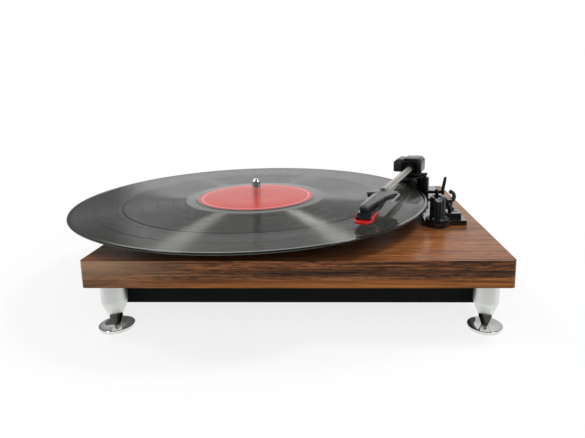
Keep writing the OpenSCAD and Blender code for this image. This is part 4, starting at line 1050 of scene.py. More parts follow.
def inside():
    """What the post and the pin take out of the block: a pocket and a bore."""
    pocket = box_shape((-POCKET_W / 2, -POCKET_L / 2, BLOCK_BOTTOM - 2),
                       (POCKET_W / 2, POCKET_L / 2, POCKET_TOP), in_arm)
    bore = turned([(0, -BORE_REACH), (PIN_BORE, -BORE_REACH), (PIN_BORE, BORE_REACH), (0, BORE_REACH)],
                  in_arm @ along_x, around=32)
    return pocket, bore


flutes = [box_shape((BLOCK_RIGHT - FLUTE_DEPTH, y - FLUTE_W / 2, FLUTE_FOOT),
                    (BLOCK_RIGHT + 2, y + FLUTE_W / 2, BLOCK_TOP), in_arm) for y in FLUTE_Y]
block = carved(shoulders, *inside(), *flutes)
saddle = carved(merged(ridge, boss), *inside())
socket = turned(eased([
    (SOCKET_BORE, SOCKET_FROM), (SOCKET_R, SOCKET_FROM), (SOCKET_R, SOCKET_TO, 0.6),
    (SOCKET_BORE, SOCKET_TO, 0.3)]), in_arm @ facing_front, around=48)
SATIN_ABS = plastic("Satin dark grey ABS", "#24282a", "#2e3335", 0.27, 0.6, 0.06)
piece("arm_pivot_block", ["pivot_block"],
      (block, SATIN_ABS), (saddle, MOULD_ABS), (socket, MOULD_ABS))
print("pivot block:", FACETS["arm_pivot_block"], "faces")

# %% [markdown]
# ## Tube and counterweight
# The tube is drawn aluminium with a pale satin anodised skin. Behind the block a threaded stub
# carries the counterweight, a blackened iron ring with a knurled grip and a plain scale of white
# strokes. Knurling is a ripple in the radius, so the lathe maker can cut it as it spins.

# %% Tube
TUBE_R = 2.9
TUBE_BORE = 2.2
TUBE_BACK = 11.0
TUBE_FRONT = 125.0
tube = eased([(TUBE_BORE, TUBE_BACK), (TUBE_R, TUBE_BACK, 0.2), (TUBE_R, TUBE_FRONT, 0.2),
              (TUBE_BORE, TUBE_FRONT)])
piece("arm_tube_drawn", ["arm_tube"], (turned(tube, in_arm @ facing_front, around=64), ARM_METAL))
print(f"tube: {TUBE_FRONT - TUBE_BACK:.0f} mm long")

# %% Threaded stub
STUB_R = 3.0
STUB_FRONT = 9.0
STUB_BACK = 31.0
THREAD_FROM = 13.0
THREAD_PITCH = 1.0
THREAD_DEPTH = 0.3
thread = [(0, STUB_FRONT), (STUB_R, STUB_FRONT), (STUB_R, THREAD_FROM)]
for turn in range(int((STUB_BACK - THREAD_FROM) / THREAD_PITCH) - 1):
    crest = THREAD_FROM + turn * THREAD_PITCH
    thread += [(STUB_R - THREAD_DEPTH, crest + THREAD_PITCH / 2), (STUB_R, crest + THREAD_PITCH)]
thread += [(STUB_R - 2 * THREAD_DEPTH, STUB_BACK), (0, STUB_BACK)]
piece("counterweight_thread", ["counterweight_stub"],
      (turned(thread, in_arm @ facing_back, around=48), STEEL))
print("thread:", FACETS["counterweight_thread"], "faces")

# %% Knurled weight
WEIGHT_R = 8.5
WEIGHT_BORE = 3.06
WEIGHT_FRONT = 15.5
WEIGHT_BACK = 29.5
WEIGHT_GROOVE = 19.6
KNURL_FROM = 20.6
KNURL_TO = 28.4
KNURLS = 48
KNURL_DEPTH = 0.45
weight = eased([
    (WEIGHT_BORE, WEIGHT_FRONT), (WEIGHT_R, WEIGHT_FRONT, 0.4), (WEIGHT_R, WEIGHT_GROOVE, 0.2),
    (WEIGHT_R - 0.5, WEIGHT_GROOVE + 0.3), (WEIGHT_R - 0.5, KNURL_FROM - 0.3), (WEIGHT_R, KNURL_FROM),
    (WEIGHT_R, KNURL_TO), (WEIGHT_R - 0.4, KNURL_TO + 0.2), (WEIGHT_R - 0.4, WEIGHT_BACK, 0.6),
    (WEIGHT_BORE + 1.2, WEIGHT_BACK, 0.3), (WEIGHT_BORE, WEIGHT_BACK - 0.8)])
grip = turned(weight, in_arm @ facing_back, around=288, flutes=KNURLS, depth=KNURL_DEPTH,
              fluted=(KNURL_FROM, KNURL_TO))
print("weight:", len(grip.faces), "faces without its scale")

# %% Scale of the weight
WHITE_INK = plastic("White marking ink", "#d8d8d4", "#e6e6e2", 0.5, 0.4, 0.1)
STROKES = 20
STROKE_W = 0.34
LONG_STROKE = 2.6
SHORT_STROKE = 1.5
INK_SUNK = 0.1
INK_T = 0.04
stroke_y = WEIGHT_FRONT + 0.6
strokes = []
for step in range(STROKES):
    length = SHORT_STROKE if step % 5 else LONG_STROKE
    around_weight = in_arm @ Matrix.Rotation(math.tau * step / STROKES, 4, "Y")
    strokes.append(box_shape((-STROKE_W / 2, stroke_y, WEIGHT_R - INK_SUNK),
                             (STROKE_W / 2, stroke_y + length, WEIGHT_R + INK_T), around_weight))
piece("counterweight_knurled", ["counterweight"], (grip, IRON), (merged(*strokes), WHITE_INK))
print("counterweight:", FACETS["counterweight_knurled"], "faces")

# %% [markdown]
# ## The head
# The headshell is long and narrow, with two unlike wings where the tube comes in. Its cover is
# mid grey plastic over a dark body, folded like a low roof, with a seam along the ridge; the dark
# body is darkened further as painted shade under the wings. Below hang a keel for the leads, the
# glossy dark cartridge and the red needle guard; the keel's dark bulk also stands in for the shade
# beside the cartridge. Each is an outline with a thickness, drawn in the head's own frame, whose
# origin is above the needle's point.

# %% Outline and roof of the headshell
SHELL_FRONT = 6.0
SHELL_REAR = 66.0
SHELL_SIDE = 5.5
FRONT_LEFT = -4.8
FRONT_RIGHT = 1.8
WAIST = 40.0
WING = 12.0
RIGHT_TIP = 60.5
LEFT_TIP = 55.5
LEFT_NOTCH = 51.9
REAR_HALF = 4.5
SAME_POINT = 1e-4


def shell_outline(inset):
    """The headshell seen from above, drawn in by an inset: front, right wing, rear, left wing."""
    side, wing, rear = SHELL_SIDE - inset, WING - inset, REAR_HALF - inset
    front_y, rear_y = SHELL_FRONT + inset, SHELL_REAR - inset
    return eased([
        (FRONT_LEFT + inset, front_y, 1.2), (FRONT_RIGHT - inset, front_y, 1.2), (side, WAIST, 14),
        (wing, RIGHT_TIP - inset, 0.7), (rear, rear_y, 1.2), (-rear, rear_y, 1.2),
        (-wing, LEFT_TIP - inset, 0.7), (-wing, LEFT_NOTCH + inset, 0.5),
        (-side, LEFT_NOTCH - 1 + inset, 1.5)])


def roofed(outline, low, eaves, top, first, last, place):
    """An outline with walls up to its eaves and two slopes that meet in a ridge from first to last."""
    shape = bmesh.new()
    rings = [[shape.verts.new((x, y, z)) for x, y in outline] for z in (low, eaves)]
    along = [min(max((y - first.y) / (last.y - first.y), 0), 1) for x, y in outline]
    rings.append([shape.verts.new((*first.lerp(last, share), top)) for share in along])
    for one, two in zip(rings, rings[1:]):
        bridge(shape, one, two)
    shape.faces.new(rings[0])
    bmesh.ops.remove_doubles(shape, verts=shape.verts, dist=SAME_POINT)
    bmesh.ops.transform(shape, matrix=place, verts=shape.verts)
    return shape


print(f"headshell: {2 * WING:.0f} mm across the wings, {SHELL_REAR - SHELL_FRONT:.0f} mm long")

# %% Cover, skirt and seam
SHELL_TOP = 1.5
SHELL_EAVES = 0.3
SHELL_BOTTOM = -3.7
COVER_BOTTOM = -0.6
SKIRT_TOP = -0.5
SKIRT_INSET = 0.5
RIDGE_START = Vector((-1.5, 9))
RIDGE_END = Vector((0, 64))
cover = roofed(shell_outline(0), COVER_BOTTOM, SHELL_EAVES, SHELL_TOP, RIDGE_START, RIDGE_END, in_head)
skirt = plate(shell_outline(SKIRT_INSET), SHELL_BOTTOM, SKIRT_TOP, 0.3, in_head)

SEAM_W = 0.44
SEAM_DEPTH = 0.45
SEAM_SHARE = 0.88
seam_end = RIDGE_START.lerp(RIDGE_END, SEAM_SHARE)
seam = plate([(point.x + side * SEAM_W / 2, point.y) for point, side in (
    (RIDGE_START, -1), (RIDGE_START, 1), (seam_end, 1), (seam_end, -1))],
    SHELL_TOP - SEAM_DEPTH, SHELL_TOP + 1, 0, in_head)
print(f"seam: {seam_end.y - RIDGE_START.y:.0f} mm long")

# %% Collar and keel
COLLAR_BORE = 2.95
COLLAR_R = 3.3
COLLAR_FROM = 59
collar = turned(eased([
    (COLLAR_BORE, COLLAR_FROM), (COLLAR_R, COLLAR_FROM), (COLLAR_R, SHELL_REAR, 0.4),
    (COLLAR_BORE, SHELL_REAR + 1, 0.2)]), in_head @ facing_back, around=48)

# The keel holds the leads; it is dark, and its bulk also stands in for the shade beside the cartridge
KEEL_W = 10.0
KEEL_BOTTOM = -7.6
KEEL_FROM = 25.1
KEEL_TO = 48
keel_top = SHELL_BOTTOM + 0.2
shade_keel = plate(eased([
    (KEEL_FROM, KEEL_BOTTOM, 0.4), (KEEL_TO - 7, KEEL_BOTTOM + 0.8, 3), (KEEL_TO, keel_top),
    (KEEL_FROM, keel_top)]), -KEEL_W / 2, KEEL_W / 2, 0.5, in_head @ facing_right)

SHELL_GREY = plastic("Mid grey ABS", "#434643", "#4e504d", 0.26, 0.5, 0.06)
# The skirt and keel are darkened as painted shade under the wings and beside the cartridge
SHELL_SHADE_DARK = plastic("Dark grey ABS as painted shade", "#121414", "#1b1d1d", 0.3, 0.5, 0.08, shine=0.4)
COLLAR_GREY = plastic("Light grey ABS", "#8b8b86", "#989892", 0.3, 0.5, 0.06)
piece("winged_headshell", ["headshell"], (carved(cover, seam), SHELL_GREY), (skirt, SHELL_SHADE_DARK),
      (shade_keel, SHELL_SHADE_DARK), (collar, COLLAR_GREY))
print("headshell:", FACETS["winged_headshell"], "faces")

# %% Cartridge
CARTRIDGE_W = 10.4
CARTRIDGE_TOP = -3.72
CARTRIDGE_BOTTOM = -8.0
CARTRIDGE_FRONT = 1
CARTRIDGE_BACK = 25
cartridge = plate(eased([
    (CARTRIDGE_FRONT, CARTRIDGE_BOTTOM), (CARTRIDGE_BACK, CARTRIDGE_BOTTOM, 0.4),
    (CARTRIDGE_BACK, CARTRIDGE_TOP), (CARTRIDGE_FRONT + 3.4, CARTRIDGE_TOP, 0.8),
    (CARTRIDGE_FRONT, CARTRIDGE_TOP - 2.2, 0.8)]), -CARTRIDGE_W / 2, CARTRIDGE_W / 2, 0.6,
    in_head @ facing_right, segments=3)

PIN_R = 0.4
PIN_FROM = 24.5
PIN_TO = 28.3
PIN_Z = -5.6
PIN_X = (-3.6, -1.2, 1.2, 3.6)
pins = [turned([
    (0, PIN_FROM), (PIN_R, PIN_FROM), (PIN_R, PIN_TO - 0.3), (PIN_R - 0.15, PIN_TO), (0, PIN_TO)],
    in_head @ Matrix.Translation((x, 0, PIN_Z)) @ facing_back, around=16) for x in PIN_X]
CARTRIDGE_ABS = plastic("Polished dark blue-black ABS", "#0c0e14", "#12151c", 0.14, 2.0, 0.03, coat=0.3)
piece("cartridge_body", ["cartridge"], (cartridge, CARTRIDGE_ABS), (merged(*pins), GOLD))
print("cartridge:", FACETS["cartridge_body"], "faces")

# %% Needle guard
GUARD_HALF = 6.8
GUARD_NOSE = 4.2
GUARD_FRONT = -4
GUARD_SHOULDER = 1
GUARD_REAR = 19
GUARD_SIDE_FRONT = 1.6
GUARD_SIDE_REAR = 18.6
GUARD_TOP = -8.02
GUARD_BOTTOM = -9.82
GUARD_SIDE_TOP = -5.42
GUARD_SIDE_T = 1.56
guard_floor = plate(eased([
    (-GUARD_NOSE, GUARD_FRONT, 1.4), (GUARD_NOSE, GUARD_FRONT, 1.4), (GUARD_HALF, GUARD_SHOULDER, 2),
    (GUARD_HALF, GUARD_REAR, 0.8), (-GUARD_HALF, GUARD_REAR, 0.8), (-GUARD_HALF, GUARD_SHOULDER, 2)]),
    GUARD_BOTTOM, GUARD_TOP, 0.45, in_head)
guard_sides = [plate(eased([
    (GUARD_SIDE_FRONT, GUARD_BOTTOM + 0.9), (GUARD_SIDE_REAR, GUARD_BOTTOM + 0.9),
    (GUARD_SIDE_REAR, GUARD_SIDE_TOP, 1), (6, GUARD_SIDE_TOP, 2.4),
    (GUARD_SIDE_FRONT, GUARD_TOP + 0.3, 0.6)]), low, low + GUARD_SIDE_T, 0.35,
    in_head @ facing_right) for low in (-GUARD_HALF, GUARD_HALF - GUARD_SIDE_T)]
RED_GUARD = plastic("Red polycarbonate", "#a81311", "#bf1a17", 0.18, 2.0, 0.03, coat=0.3)
piece("red_needle_guard", ["needle_guard"], (merged(guard_floor, *guard_sides), RED_GUARD))
dressed("needle", STEEL)
print("needle guard:", FACETS["red_needle_guard"], "faces")

# %% Finger lift
LIFT_R = 0.7
LIFT_Z = -1.1
LIFT_ROOT = (4.5, 58)
LIFT_OUT = 13.4
LIFT_TIP = 31.3
LIFT_SIDES = 16
wire = [Vector((x, y, LIFT_Z)) for x, y in eased(
    [LIFT_ROOT, (LIFT_OUT, LIFT_ROOT[1], 2), (LIFT_OUT, LIFT_TIP)], closed=False, steps=8)]
circle = [(LIFT_R * math.cos(math.tau * i / LIFT_SIDES), LIFT_R * math.sin(math.tau * i / LIFT_SIDES))
          for i in range(LIFT_SIDES)]
piece("finger_lift_wire", ["finger_lift"], (swept(wire, circle, in_head, dome=LIFT_R), STEEL))
print("finger lift:", FACETS["finger_lift_wire"], "faces")

# %% [markdown]
# ## Rest post and cueing parts
# When nothing plays, the arm parks in the notch of a black post with fluted sides on a round
# foot. Beside the turret a curved bar lifts the arm when the slim lever is tipped, and a slim
# cheek carries the lever's shaft. The post is spun with flutes and its notch is cut with a U,
# because a milled slot has a round floor.

# %% Post
POST_FLUTES = 14
POST_FLUTE_DEPTH = 0.5
POST_R = 6.3
FLANGE_T = 2.0
FILLET = 1.2
FLUTES_FROM = 2.2
FLUTES_TO = 1.6
SLACK = 0.1
NOTCH_W = 6.6
NOTCH_H = 3.2
NOTCH_ARC = 2.6
NOTCH_REACH = 12
NOTCH_OVER = 4
post_low, post_high = span("rest_post")
post_at = middle("rest_post")
flange_r = half_width("rest_post")
flange_z = post_low.z + FLANGE_T
notch_z = post_high.z - NOTCH_H
flutes_low, flutes_high = flange_z + FLUTES_FROM, post_high.z - FLUTES_TO
at_post = Matrix.Translation((post_at.x, post_at.y, 0))
shaft = eased([
    (0, post_low.z), (flange_r, post_low.z, 0.2), (flange_r, flange_z, 0.7),
    (POST_R + FILLET, flange_z, 0.5), (POST_R, flange_z + FILLET, 0.5), (POST_R, flutes_low),
    (POST_R, flutes_high), (POST_R, post_high.z, 0.6), (0, post_high.z)], closed=False)
fluted_post = turned(shaft, at_post, around=224, flutes=POST_FLUTES, depth=POST_FLUTE_DEPTH,
                     fluted=(flutes_low - SLACK, flutes_high + SLACK))
notch = plate(eased([
    (-NOTCH_W / 2, notch_z, NOTCH_ARC), (NOTCH_W / 2, notch_z, NOTCH_ARC),
    (NOTCH_W / 2, post_high.z + NOTCH_OVER), (-NOTCH_W / 2, post_high.z + NOTCH_OVER)]),
    -NOTCH_REACH, NOTCH_REACH, 0, at_post @ facing_front)
piece("fluted_rest_post", ["rest_post"], (carved(fluted_post, notch), MOULD_ABS))
print("rest post:", FACETS["fluted_rest_post"], "faces")

# %% Lifter and cheek
for node in ("lifter_guide", "lifter_bar"):
    dressed(node, MOULD_ABS, edge=0.4)
for node in ("lifter_rod", "cue_shaft"):
    dressed(node, IRON, edge=0.2)

CHEEK_W = 2.6
CHEEK_ARC = 2.7
CHEEK_FOOT = 1.0
SHAFT_BORE = 1.55
SHAFT_REACH = 5
cheek_low, cheek_high = span("cue_bracket")
cheek_x = middle("cue_bracket").x
shaft_mid = middle("cue_shaft")
cheek = plate(eased([
    (cheek_low.y, cheek_low.z), (cheek_high.y, cheek_low.z), (cheek_high.y, cheek_high.z, CHEEK_ARC),
    (cheek_low.y, cheek_high.z, CHEEK_ARC)]), cheek_x - CHEEK_W / 2, cheek_x + CHEEK_W / 2, 0.3,
    facing_right)
sole = box_shape(cheek_low, (cheek_high.x, cheek_high.y, cheek_low.z + CHEEK_FOOT), Matrix(), 0.3)
shaft_hole = turned([(0, -SHAFT_REACH), (SHAFT_BORE, -SHAFT_REACH), (SHAFT_BORE, SHAFT_REACH),
                     (0, SHAFT_REACH)],
                    Matrix.Translation((cheek_x, shaft_mid.y, shaft_mid.z)) @ along_x, around=32)
piece("cue_shaft_cheek", ["cue_bracket"], (carved(merged(cheek, sole), shaft_hole), MOULD_ABS))
print("cheek:", FACETS["cue_shaft_cheek"], "faces")

# %% Cue lever
LEAN = math.radians(10)
LEVER_L = 13.5
LEVER_FOOT = 1.9
LEVER_R = 1.5
LEVER_TIP_R = 1.15
LEVER_FLAT = Matrix.Diagonal((1.1, 0.9, 1, 1))
HUB_L = 2.6
HUB_R = 2.8
HUB_BORE = 1.52
cue_at = Vector((span("cue_lever")[0].x, shaft_mid.y, shaft_mid.z))
hub = turned(eased([(HUB_BORE, 0), (HUB_R, 0, 0.3), (HUB_R, HUB_L, 0.3), (HUB_BORE, HUB_L)]),
             Matrix.Translation(cue_at) @ along_x, around=48)
lever_at = cue_at + Vector((HUB_L / 2, 0, LEVER_FOOT))
leaning = Matrix.Translation(lever_at) @ Matrix.Rotation(LEAN, 4, "Y")
paddle = turned(eased([
    (0, 0), (LEVER_R, 0), (1.45, 4), (1.4, 9), (LEVER_TIP_R, LEVER_L, 1.1), (0, LEVER_L)],
    closed=False, steps=8), leaning @ LEVER_FLAT, around=32)
piece("cue_lever_paddle", ["cue_lever"], (hub, MOULD_ABS), (paddle, MOULD_ABS))
print("cue lever:", FACETS["cue_lever_paddle"], "faces")

# %% [markdown]
# ## Switch and speed lever
# On the plate sit a low switch with a sliding peg and a hooked lever with a finger nub that sets
# the speed. The hook is a bar bent to an arc, so a rounded square is drawn along part of a
# circle, with its eye round the pin and its nub at the free end.

# %% Peg
PEG_NECK = 1.1
PEG_SEAT = 2.2
PEG_STEP = 0.3
dressed("switch_panel", GLOSS_ABS, edge=0.35)
dressed("speed_bracket", GLOSS_ABS, edge=0.3)
peg_low, peg_high = span("switch_peg")
peg_at = middle("switch_peg")
peg_r = half_width("switch_peg")
peg = eased([
    (0, peg_low.z), (PEG_NECK, peg_low.z), (PEG_NECK, peg_low.z + PEG_SEAT),
    (peg_r, peg_low.z + PEG_SEAT, 0.2), (peg_r, peg_high.z - 1.8), (peg_r - PEG_STEP, peg_high.z - 1.6),
    (peg_r - PEG_STEP, peg_high.z, 0.7), (0, peg_high.z)], closed=False)
piece("switch_peg_turned", ["switch_peg"],
      (turned(peg, Matrix.Translation((peg_at.x, peg_at.y, 0)), around=48), MOULD_ABS))
print("peg:", FACETS["switch_peg_turned"], "faces")

# %% Hook
HOOK_R = 4.6
HOOK_T = 3.2
HOOK_EDGE = 0.8
HOOK_FROM = math.radians(-78)
HOOK_SWEEP = math.radians(150)
HOOK_STEPS = 40
NUB_R = 1.95
NUB_STEPS = 12
EYE_R = 2.4
EYE_BORE = 1.25
pin_at = Vector(joints["speed_lever_turn"]["pos_m"]) / MM
bend_at = pin_at + Vector((0, 0, HOOK_R))
angles = [HOOK_FROM + HOOK_SWEEP * i / HOOK_STEPS for i in range(HOOK_STEPS + 1)]
arc = [bend_at + HOOK_R * Vector((math.cos(a), 0, math.sin(a))) for a in angles]
half_t = HOOK_T / 2
square = eased([(x * half_t, y * half_t, HOOK_EDGE) for x, y in ((-1, -1), (1, -1), (1, 1), (-1, 1))])
hook = swept(arc, square)
eye = turned(eased([
    (EYE_BORE, -half_t), (EYE_R, -half_t, 0.4), (EYE_R, half_t, 0.4), (EYE_BORE, half_t)]),
    Matrix.Translation(pin_at) @ facing_front, around=48)
heights = [math.pi * (i / NUB_STEPS - 0.5) for i in range(NUB_STEPS + 1)]
nub = turned([(NUB_R * math.cos(a), NUB_R * math.sin(a)) for a in heights],
             Matrix.Translation(arc[-1]), around=32)
piece("speed_lever_hook", ["speed_lever"], (hook, GLOSS_ABS), (eye, GLOSS_ABS), (nub, GLOSS_ABS))
print("hook:", FACETS["speed_lever_hook"], "faces")

# %% [markdown]
# ## Tray, jacks and screws
# The tray under the plinth is folded steel with a powder coat. At its back a plate holds a pair
# of gold plated phono jacks, told apart by a white and a red insulator, and a barrel for power.
# The jacks are turned in two materials; the tray's screws get a cross recess cut into each head.

# %% Tray and board
dressed("chassis_tray", POWDER_COAT, edge=0.4)
dressed("jack_plate", MOULD_ABS, edge=0.3)
FIBREGLASS = plastic("Green lacquered fibreglass", "#12402a", "#1c5436", 0.3, 1.2, 0.1)
dressed("circuit_board", FIBREGLASS)
dressed("board_screws", ZINC)
tray_low, tray_high = span("chassis_tray")
print(f"tray: {tray_high.x - tray_low.x:.0f} mm wide")

# %% Phono jacks
RED_RING = plastic("Red insulator plastic", "#a81c1c", "#b82420", 0.4, 0.5, 0.05)
WHITE_RING = plastic("White insulator plastic", "#d0d0cc", "#dededa", 0.4, 0.5, 0.05)
JACK_R = 4.15
JACK_BORE = 3.4
JACK_MOUTH = 3.45
JACK_SHANK_R = 4.85
JACK_IN = -5.5
JACK_L = 9
JACK_FLANGE_T = 1
INSULATOR_HOLE = 1.7
INSULATOR_R = 3.38
INSULATOR_IN = -5.4
jack_low, jack_high = span("phono_jacks")
jack_z = (jack_low.z + jack_high.z) / 2
jack_flange_r = (jack_high.z - jack_low.z) / 2
jack_end = jack_high.y - tray_high.y
flange_end = jack_end - JACK_L
flange_start = flange_end - JACK_FLANGE_T
insulator_end = jack_end - 0.7
jack_parts = []
white_x, red_x = jack_low.x + jack_flange_r, jack_high.x - jack_flange_r
for x, ring_colour in ((white_x, WHITE_RING), (red_x, RED_RING)):
    at_jack = Matrix.Translation((x, tray_high.y, jack_z)) @ facing_back
    shell = turned(eased([
        (JACK_BORE, JACK_IN), (JACK_SHANK_R, JACK_IN), (JACK_SHANK_R, flange_start),
        (jack_flange_r, flange_start, 0.2), (jack_flange_r, flange_end, 0.3), (JACK_R, flange_end),
        (JACK_R, jack_end, 0.3), (JACK_MOUTH, jack_end, 0.2), (JACK_MOUTH, flange_end + 2),
        (JACK_BORE, flange_end + 2)]), at_jack, around=64)
    insulator = turned(eased([
        (INSULATOR_HOLE, INSULATOR_IN), (INSULATOR_R, INSULATOR_IN), (INSULATOR_R, insulator_end, 0.2),
        (INSULATOR_HOLE, insulator_end, 0.3)]), at_jack, around=64)
    jack_parts += [(shell, GOLD), (insulator, ring_colour)]
piece("phono_jack_pair", ["phono_jacks"], *jack_parts)
print("phono jacks:", FACETS["phono_jack_pair"], "faces")

# %% Power barrel
BARREL_IN = -6
BARREL_FLOOR = -3
BARREL_BORE = 2.8
CENTRE_R = 1
CENTRE_FROM = -4.5
CENTRE_TO = 2.65
power_r = half_width("power_jack")
power_end = span("power_jack")[1].y - tray_high.y
at_power = Matrix.Translation((middle("power_jack").x, tray_high.y, jack_z)) @ facing_back
barrel = turned(eased([
    (0, BARREL_IN), (power_r, BARREL_IN, 0.2), (power_r, power_end, 0.6), (BARREL_BORE, power_end, 0.3),
    (BARREL_BORE, BARREL_FLOOR), (0, BARREL_FLOOR)], closed=False), at_power, around=64)
centre_pin = turned(eased([
    (0, CENTRE_FROM), (CENTRE_R, CENTRE_FROM), (CENTRE_R, CENTRE_TO, 0.5), (0, CENTRE_TO)],
    closed=False), at_power, around=24)
piece("power_barrel", ["power_jack"], (barrel, MOULD_ABS), (centre_pin, STEEL))
print("power barrel:", FACETS["power_barrel"], "faces")

# %% Screws with a cross recess
HEAD_R = 3.0
HEAD_T = 1.8
CROWN_R = 1.6
CROWN_H = 0.9
SHANK_R = 1.5
CROSS = (1.7, 0.35)
CROSS_DEPTH = 1.0
screw_low, screw_high = span("tray_screws")
screw_l = screw_high.z - screw_low.z
heads = []
for x in (screw_low.x + HEAD_R, screw_high.x - HEAD_R):
    for y in (screw_low.y + HEAD_R, screw_high.y - HEAD_R):
        at_screw = Matrix.Translation((x, y, screw_low.z))
        head = turned(eased([
            (0, 0), (CROWN_R, 0, 2), (HEAD_R, CROWN_H, 0.6), (HEAD_R, HEAD_T, 0.2), (SHANK_R, HEAD_T),
            (SHANK_R, screw_l), (0, screw_l)], closed=False), at_screw, around=48)
        recess = [box_shape((-a, -b, -1), (a, b, CROSS_DEPTH), at_screw)
                  for a, b in (CROSS, CROSS[::-1])]
        heads.append((carved(head, *recess), IRON))
piece("tray_screws_crossed", ["tray_screws"], *heads)
print("tray screws:", FACETS["tray_screws_crossed"], "faces")

# %% [markdown]
# ## Floor and light
# A product like this is lit by large soft lamps in a white room. The floor is matt and pale, and
# keeps a soft shadow near the feet; further out it turns into the white of the room, so no
# horizon shows. The room is white to the camera. Mirrors see it white too, but darker overhead,
# in front and behind at both sides, where a studio hangs black cloth, so that black and chrome
# keep their depth.

# %% Floor
WHITE = (1, 1, 1, 1)
SHADOW_WITHIN = 160
WHITE_BEYOND = 460
NEAR_SHARE = 0.8
# Mirrors see the floor in front darker, as under the black cloth, so satin metal gets bright flanks
FRONT_FLOOR = 0.66
FRONT_FADE = (-160, -125)


def seen_share(tree, rays):
    """1 for rays that show the room: from the camera, from a mirror or through glass."""
    seen = add(tree, "Math", {0: rays.outputs["Is Camera Ray"], 1: rays.outputs["Is Glossy Ray"]},
               operation="MAXIMUM")
    seen = add(tree, "Math", {0: seen.outputs[0], 1: rays.outputs["Is Transmission Ray"]},
               operation="MAXIMUM")
    return seen.outputs[0]


def white_floor():
    made, tree, shader = finish("Matt white floor", {
        "Base Color": linear("#f4f4f2"), "Roughness": 1, "Specular IOR Level": 0.0})
    at = add(tree, "TexCoord").outputs["Object"]
    reach = add(tree, "VectorMath", {0: at}, operation="LENGTH").outputs["Value"]
    far = add(tree, "MapRange", {"Value": reach, "From Min": SHADOW_WITHIN * MM,
                                 "From Max": WHITE_BEYOND * MM, "To Min": NEAR_SHARE},
              interpolation_type="SMOOTHSTEP")
    rays = add(tree, "LightPath")
    share = add(tree, "Math", {0: seen_share(tree, rays), 1: far.outputs[0]}, operation="MULTIPLY")
    place = add(tree, "SeparateXYZ", {"Vector": at})
    front = add(tree, "MapRange", {
        "Value": place.outputs["Y"], "From Min": FRONT_FADE[0] * MM, "From Max": FRONT_FADE[1] * MM,
        "To Min": FRONT_FLOOR, "To Max": 1}, interpolation_type="SMOOTHSTEP")
    level = add(tree, "MapRange", {"Value": rays.outputs["Is Glossy Ray"], "To Min": 1,
                                   "To Max": front.outputs[0]})
    white = add(tree, "Emission", {"Color": WHITE, "Strength": level.outputs[0]})
    both = add(tree, "MixShader", {0: share.outputs[0], 1: shader.outputs[0], 2: white.outputs[0]})
    tree.links.new(both.outputs[0], tree.nodes["Material Output"].inputs["Surface"])
    return made


FLOOR_R = 4000.0
floor = as_object(turned([(0, 0), (FLOOR_R, 0), (FLOOR_R, -1), (0, -1)], around=64), "floor")
floor.data.transform(Matrix.Scale(MM, 4))
floor.data.materials.append(white_floor())
print(f"floor: {2 * FLOOR_R * MM:.0f} m across")

# %% Room
ROOM_LEVEL = 0.42
ZENITH = 0.12
FRONT_WALL = 0.35
SIDE_CLOTH = 0.25
# Each pair is the span of a direction's Z, Y or X, from -1 to 1, over which a cloth fades in or out
ZENITH_FADE = (0.2, 0.75)
FRONT_WALL_FADE = (-0.9, -0.1)
SIDE_FADE = (0.38, 0.44)
BEHIND_FADE = (0.3, 0.5)


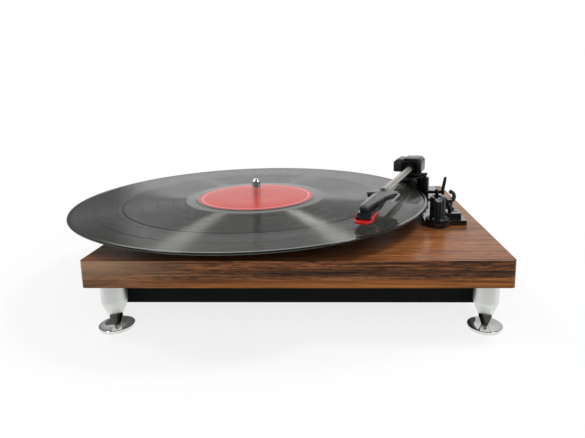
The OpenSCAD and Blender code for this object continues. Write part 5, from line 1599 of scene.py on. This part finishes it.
def white_room():
    made = bpy.data.worlds.new("white room")
    made.use_nodes = True
    tree = made.node_tree
    tree.nodes.clear()
    way = add(tree, "SeparateXYZ", {"Vector": add(tree, "TexCoord").outputs["Generated"]})
    above = add(tree, "MapRange", {
        "Value": way.outputs["Z"], "From Min": ZENITH_FADE[0], "From Max": ZENITH_FADE[1],
        "To Min": 1, "To Max": ZENITH}, interpolation_type="SMOOTHSTEP")
    front = add(tree, "MapRange", {
        "Value": way.outputs["Y"], "From Min": FRONT_WALL_FADE[0], "From Max": FRONT_WALL_FADE[1],
        "To Min": FRONT_WALL, "To Max": 1}, interpolation_type="SMOOTHSTEP")
    fade = add(tree, "Math", {0: above.outputs[0], 1: front.outputs[0]}, operation="MULTIPLY")
    aside = add(tree, "Math", {0: way.outputs["X"]}, operation="ABSOLUTE")
    aside = add(tree, "MapRange", {
        "Value": aside.outputs[0], "From Min": SIDE_FADE[0], "From Max": SIDE_FADE[1]},
        interpolation_type="SMOOTHSTEP")
    behind = add(tree, "MapRange", {
        "Value": way.outputs["Y"], "From Min": BEHIND_FADE[0], "From Max": BEHIND_FADE[1],
        "To Min": 0, "To Max": SIDE_CLOTH - 1}, interpolation_type="SMOOTHSTEP")
    cloth = add(tree, "Math", {0: aside.outputs[0], 1: behind.outputs[0], 2: 1},
                operation="MULTIPLY_ADD")
    fade = add(tree, "Math", {0: fade.outputs[0], 1: cloth.outputs[0]}, operation="MULTIPLY")
    rays = add(tree, "LightPath")
    fade = add(tree, "Math", {0: fade.outputs[0], 1: rays.outputs["Is Camera Ray"]},
               operation="MAXIMUM")
    wall = add(tree, "Background", {"Color": WHITE, "Strength": fade.outputs[0]})
    glow = add(tree, "Background", {"Color": WHITE, "Strength": ROOM_LEVEL})
    both = add(tree, "MixShader", {0: seen_share(tree, rays), 1: glow.outputs[0], 2: wall.outputs[0]})
    add(tree, "OutputWorld", {"Surface": both.outputs[0]})
    return made


bpy.context.scene.world = white_room()
print("room lit at", ROOM_LEVEL)

# %% Lamps
AIM = Vector((0, 0, 60))


def lamp(name, side, height, distance, size, watts):
    """A square soft lamp: degrees round from the front, degrees up, and a distance in millimetres."""
    a, e = math.radians(side), math.radians(height)
    at = AIM + distance * Vector((math.sin(a) * math.cos(e), -math.cos(a) * math.cos(e), math.sin(e)))
    light = bpy.data.lights.new(name, "AREA")
    light.size = size * MM
    light.energy = watts
    made = bpy.data.objects.new(name, light)
    bpy.context.scene.collection.objects.link(made)
    made.location = at * MM
    made.rotation_euler = (AIM - at).to_track_quat("-Z", "Y").to_euler()
    return made


lamp("left soft box", side=-90, height=58, distance=1100, size=220, watts=3.0)
lamp("right soft box", side=95, height=58, distance=1100, size=220, watts=4.8)
front_box = lamp("front soft box", side=5, height=38, distance=1300, size=900, watts=6)
# Hidden from mirrors, so that the disc shows no bright square from behind
front_box.visible_glossy = False
bpy.context.scene.view_settings.view_transform = "Standard"
print("three soft boxes")
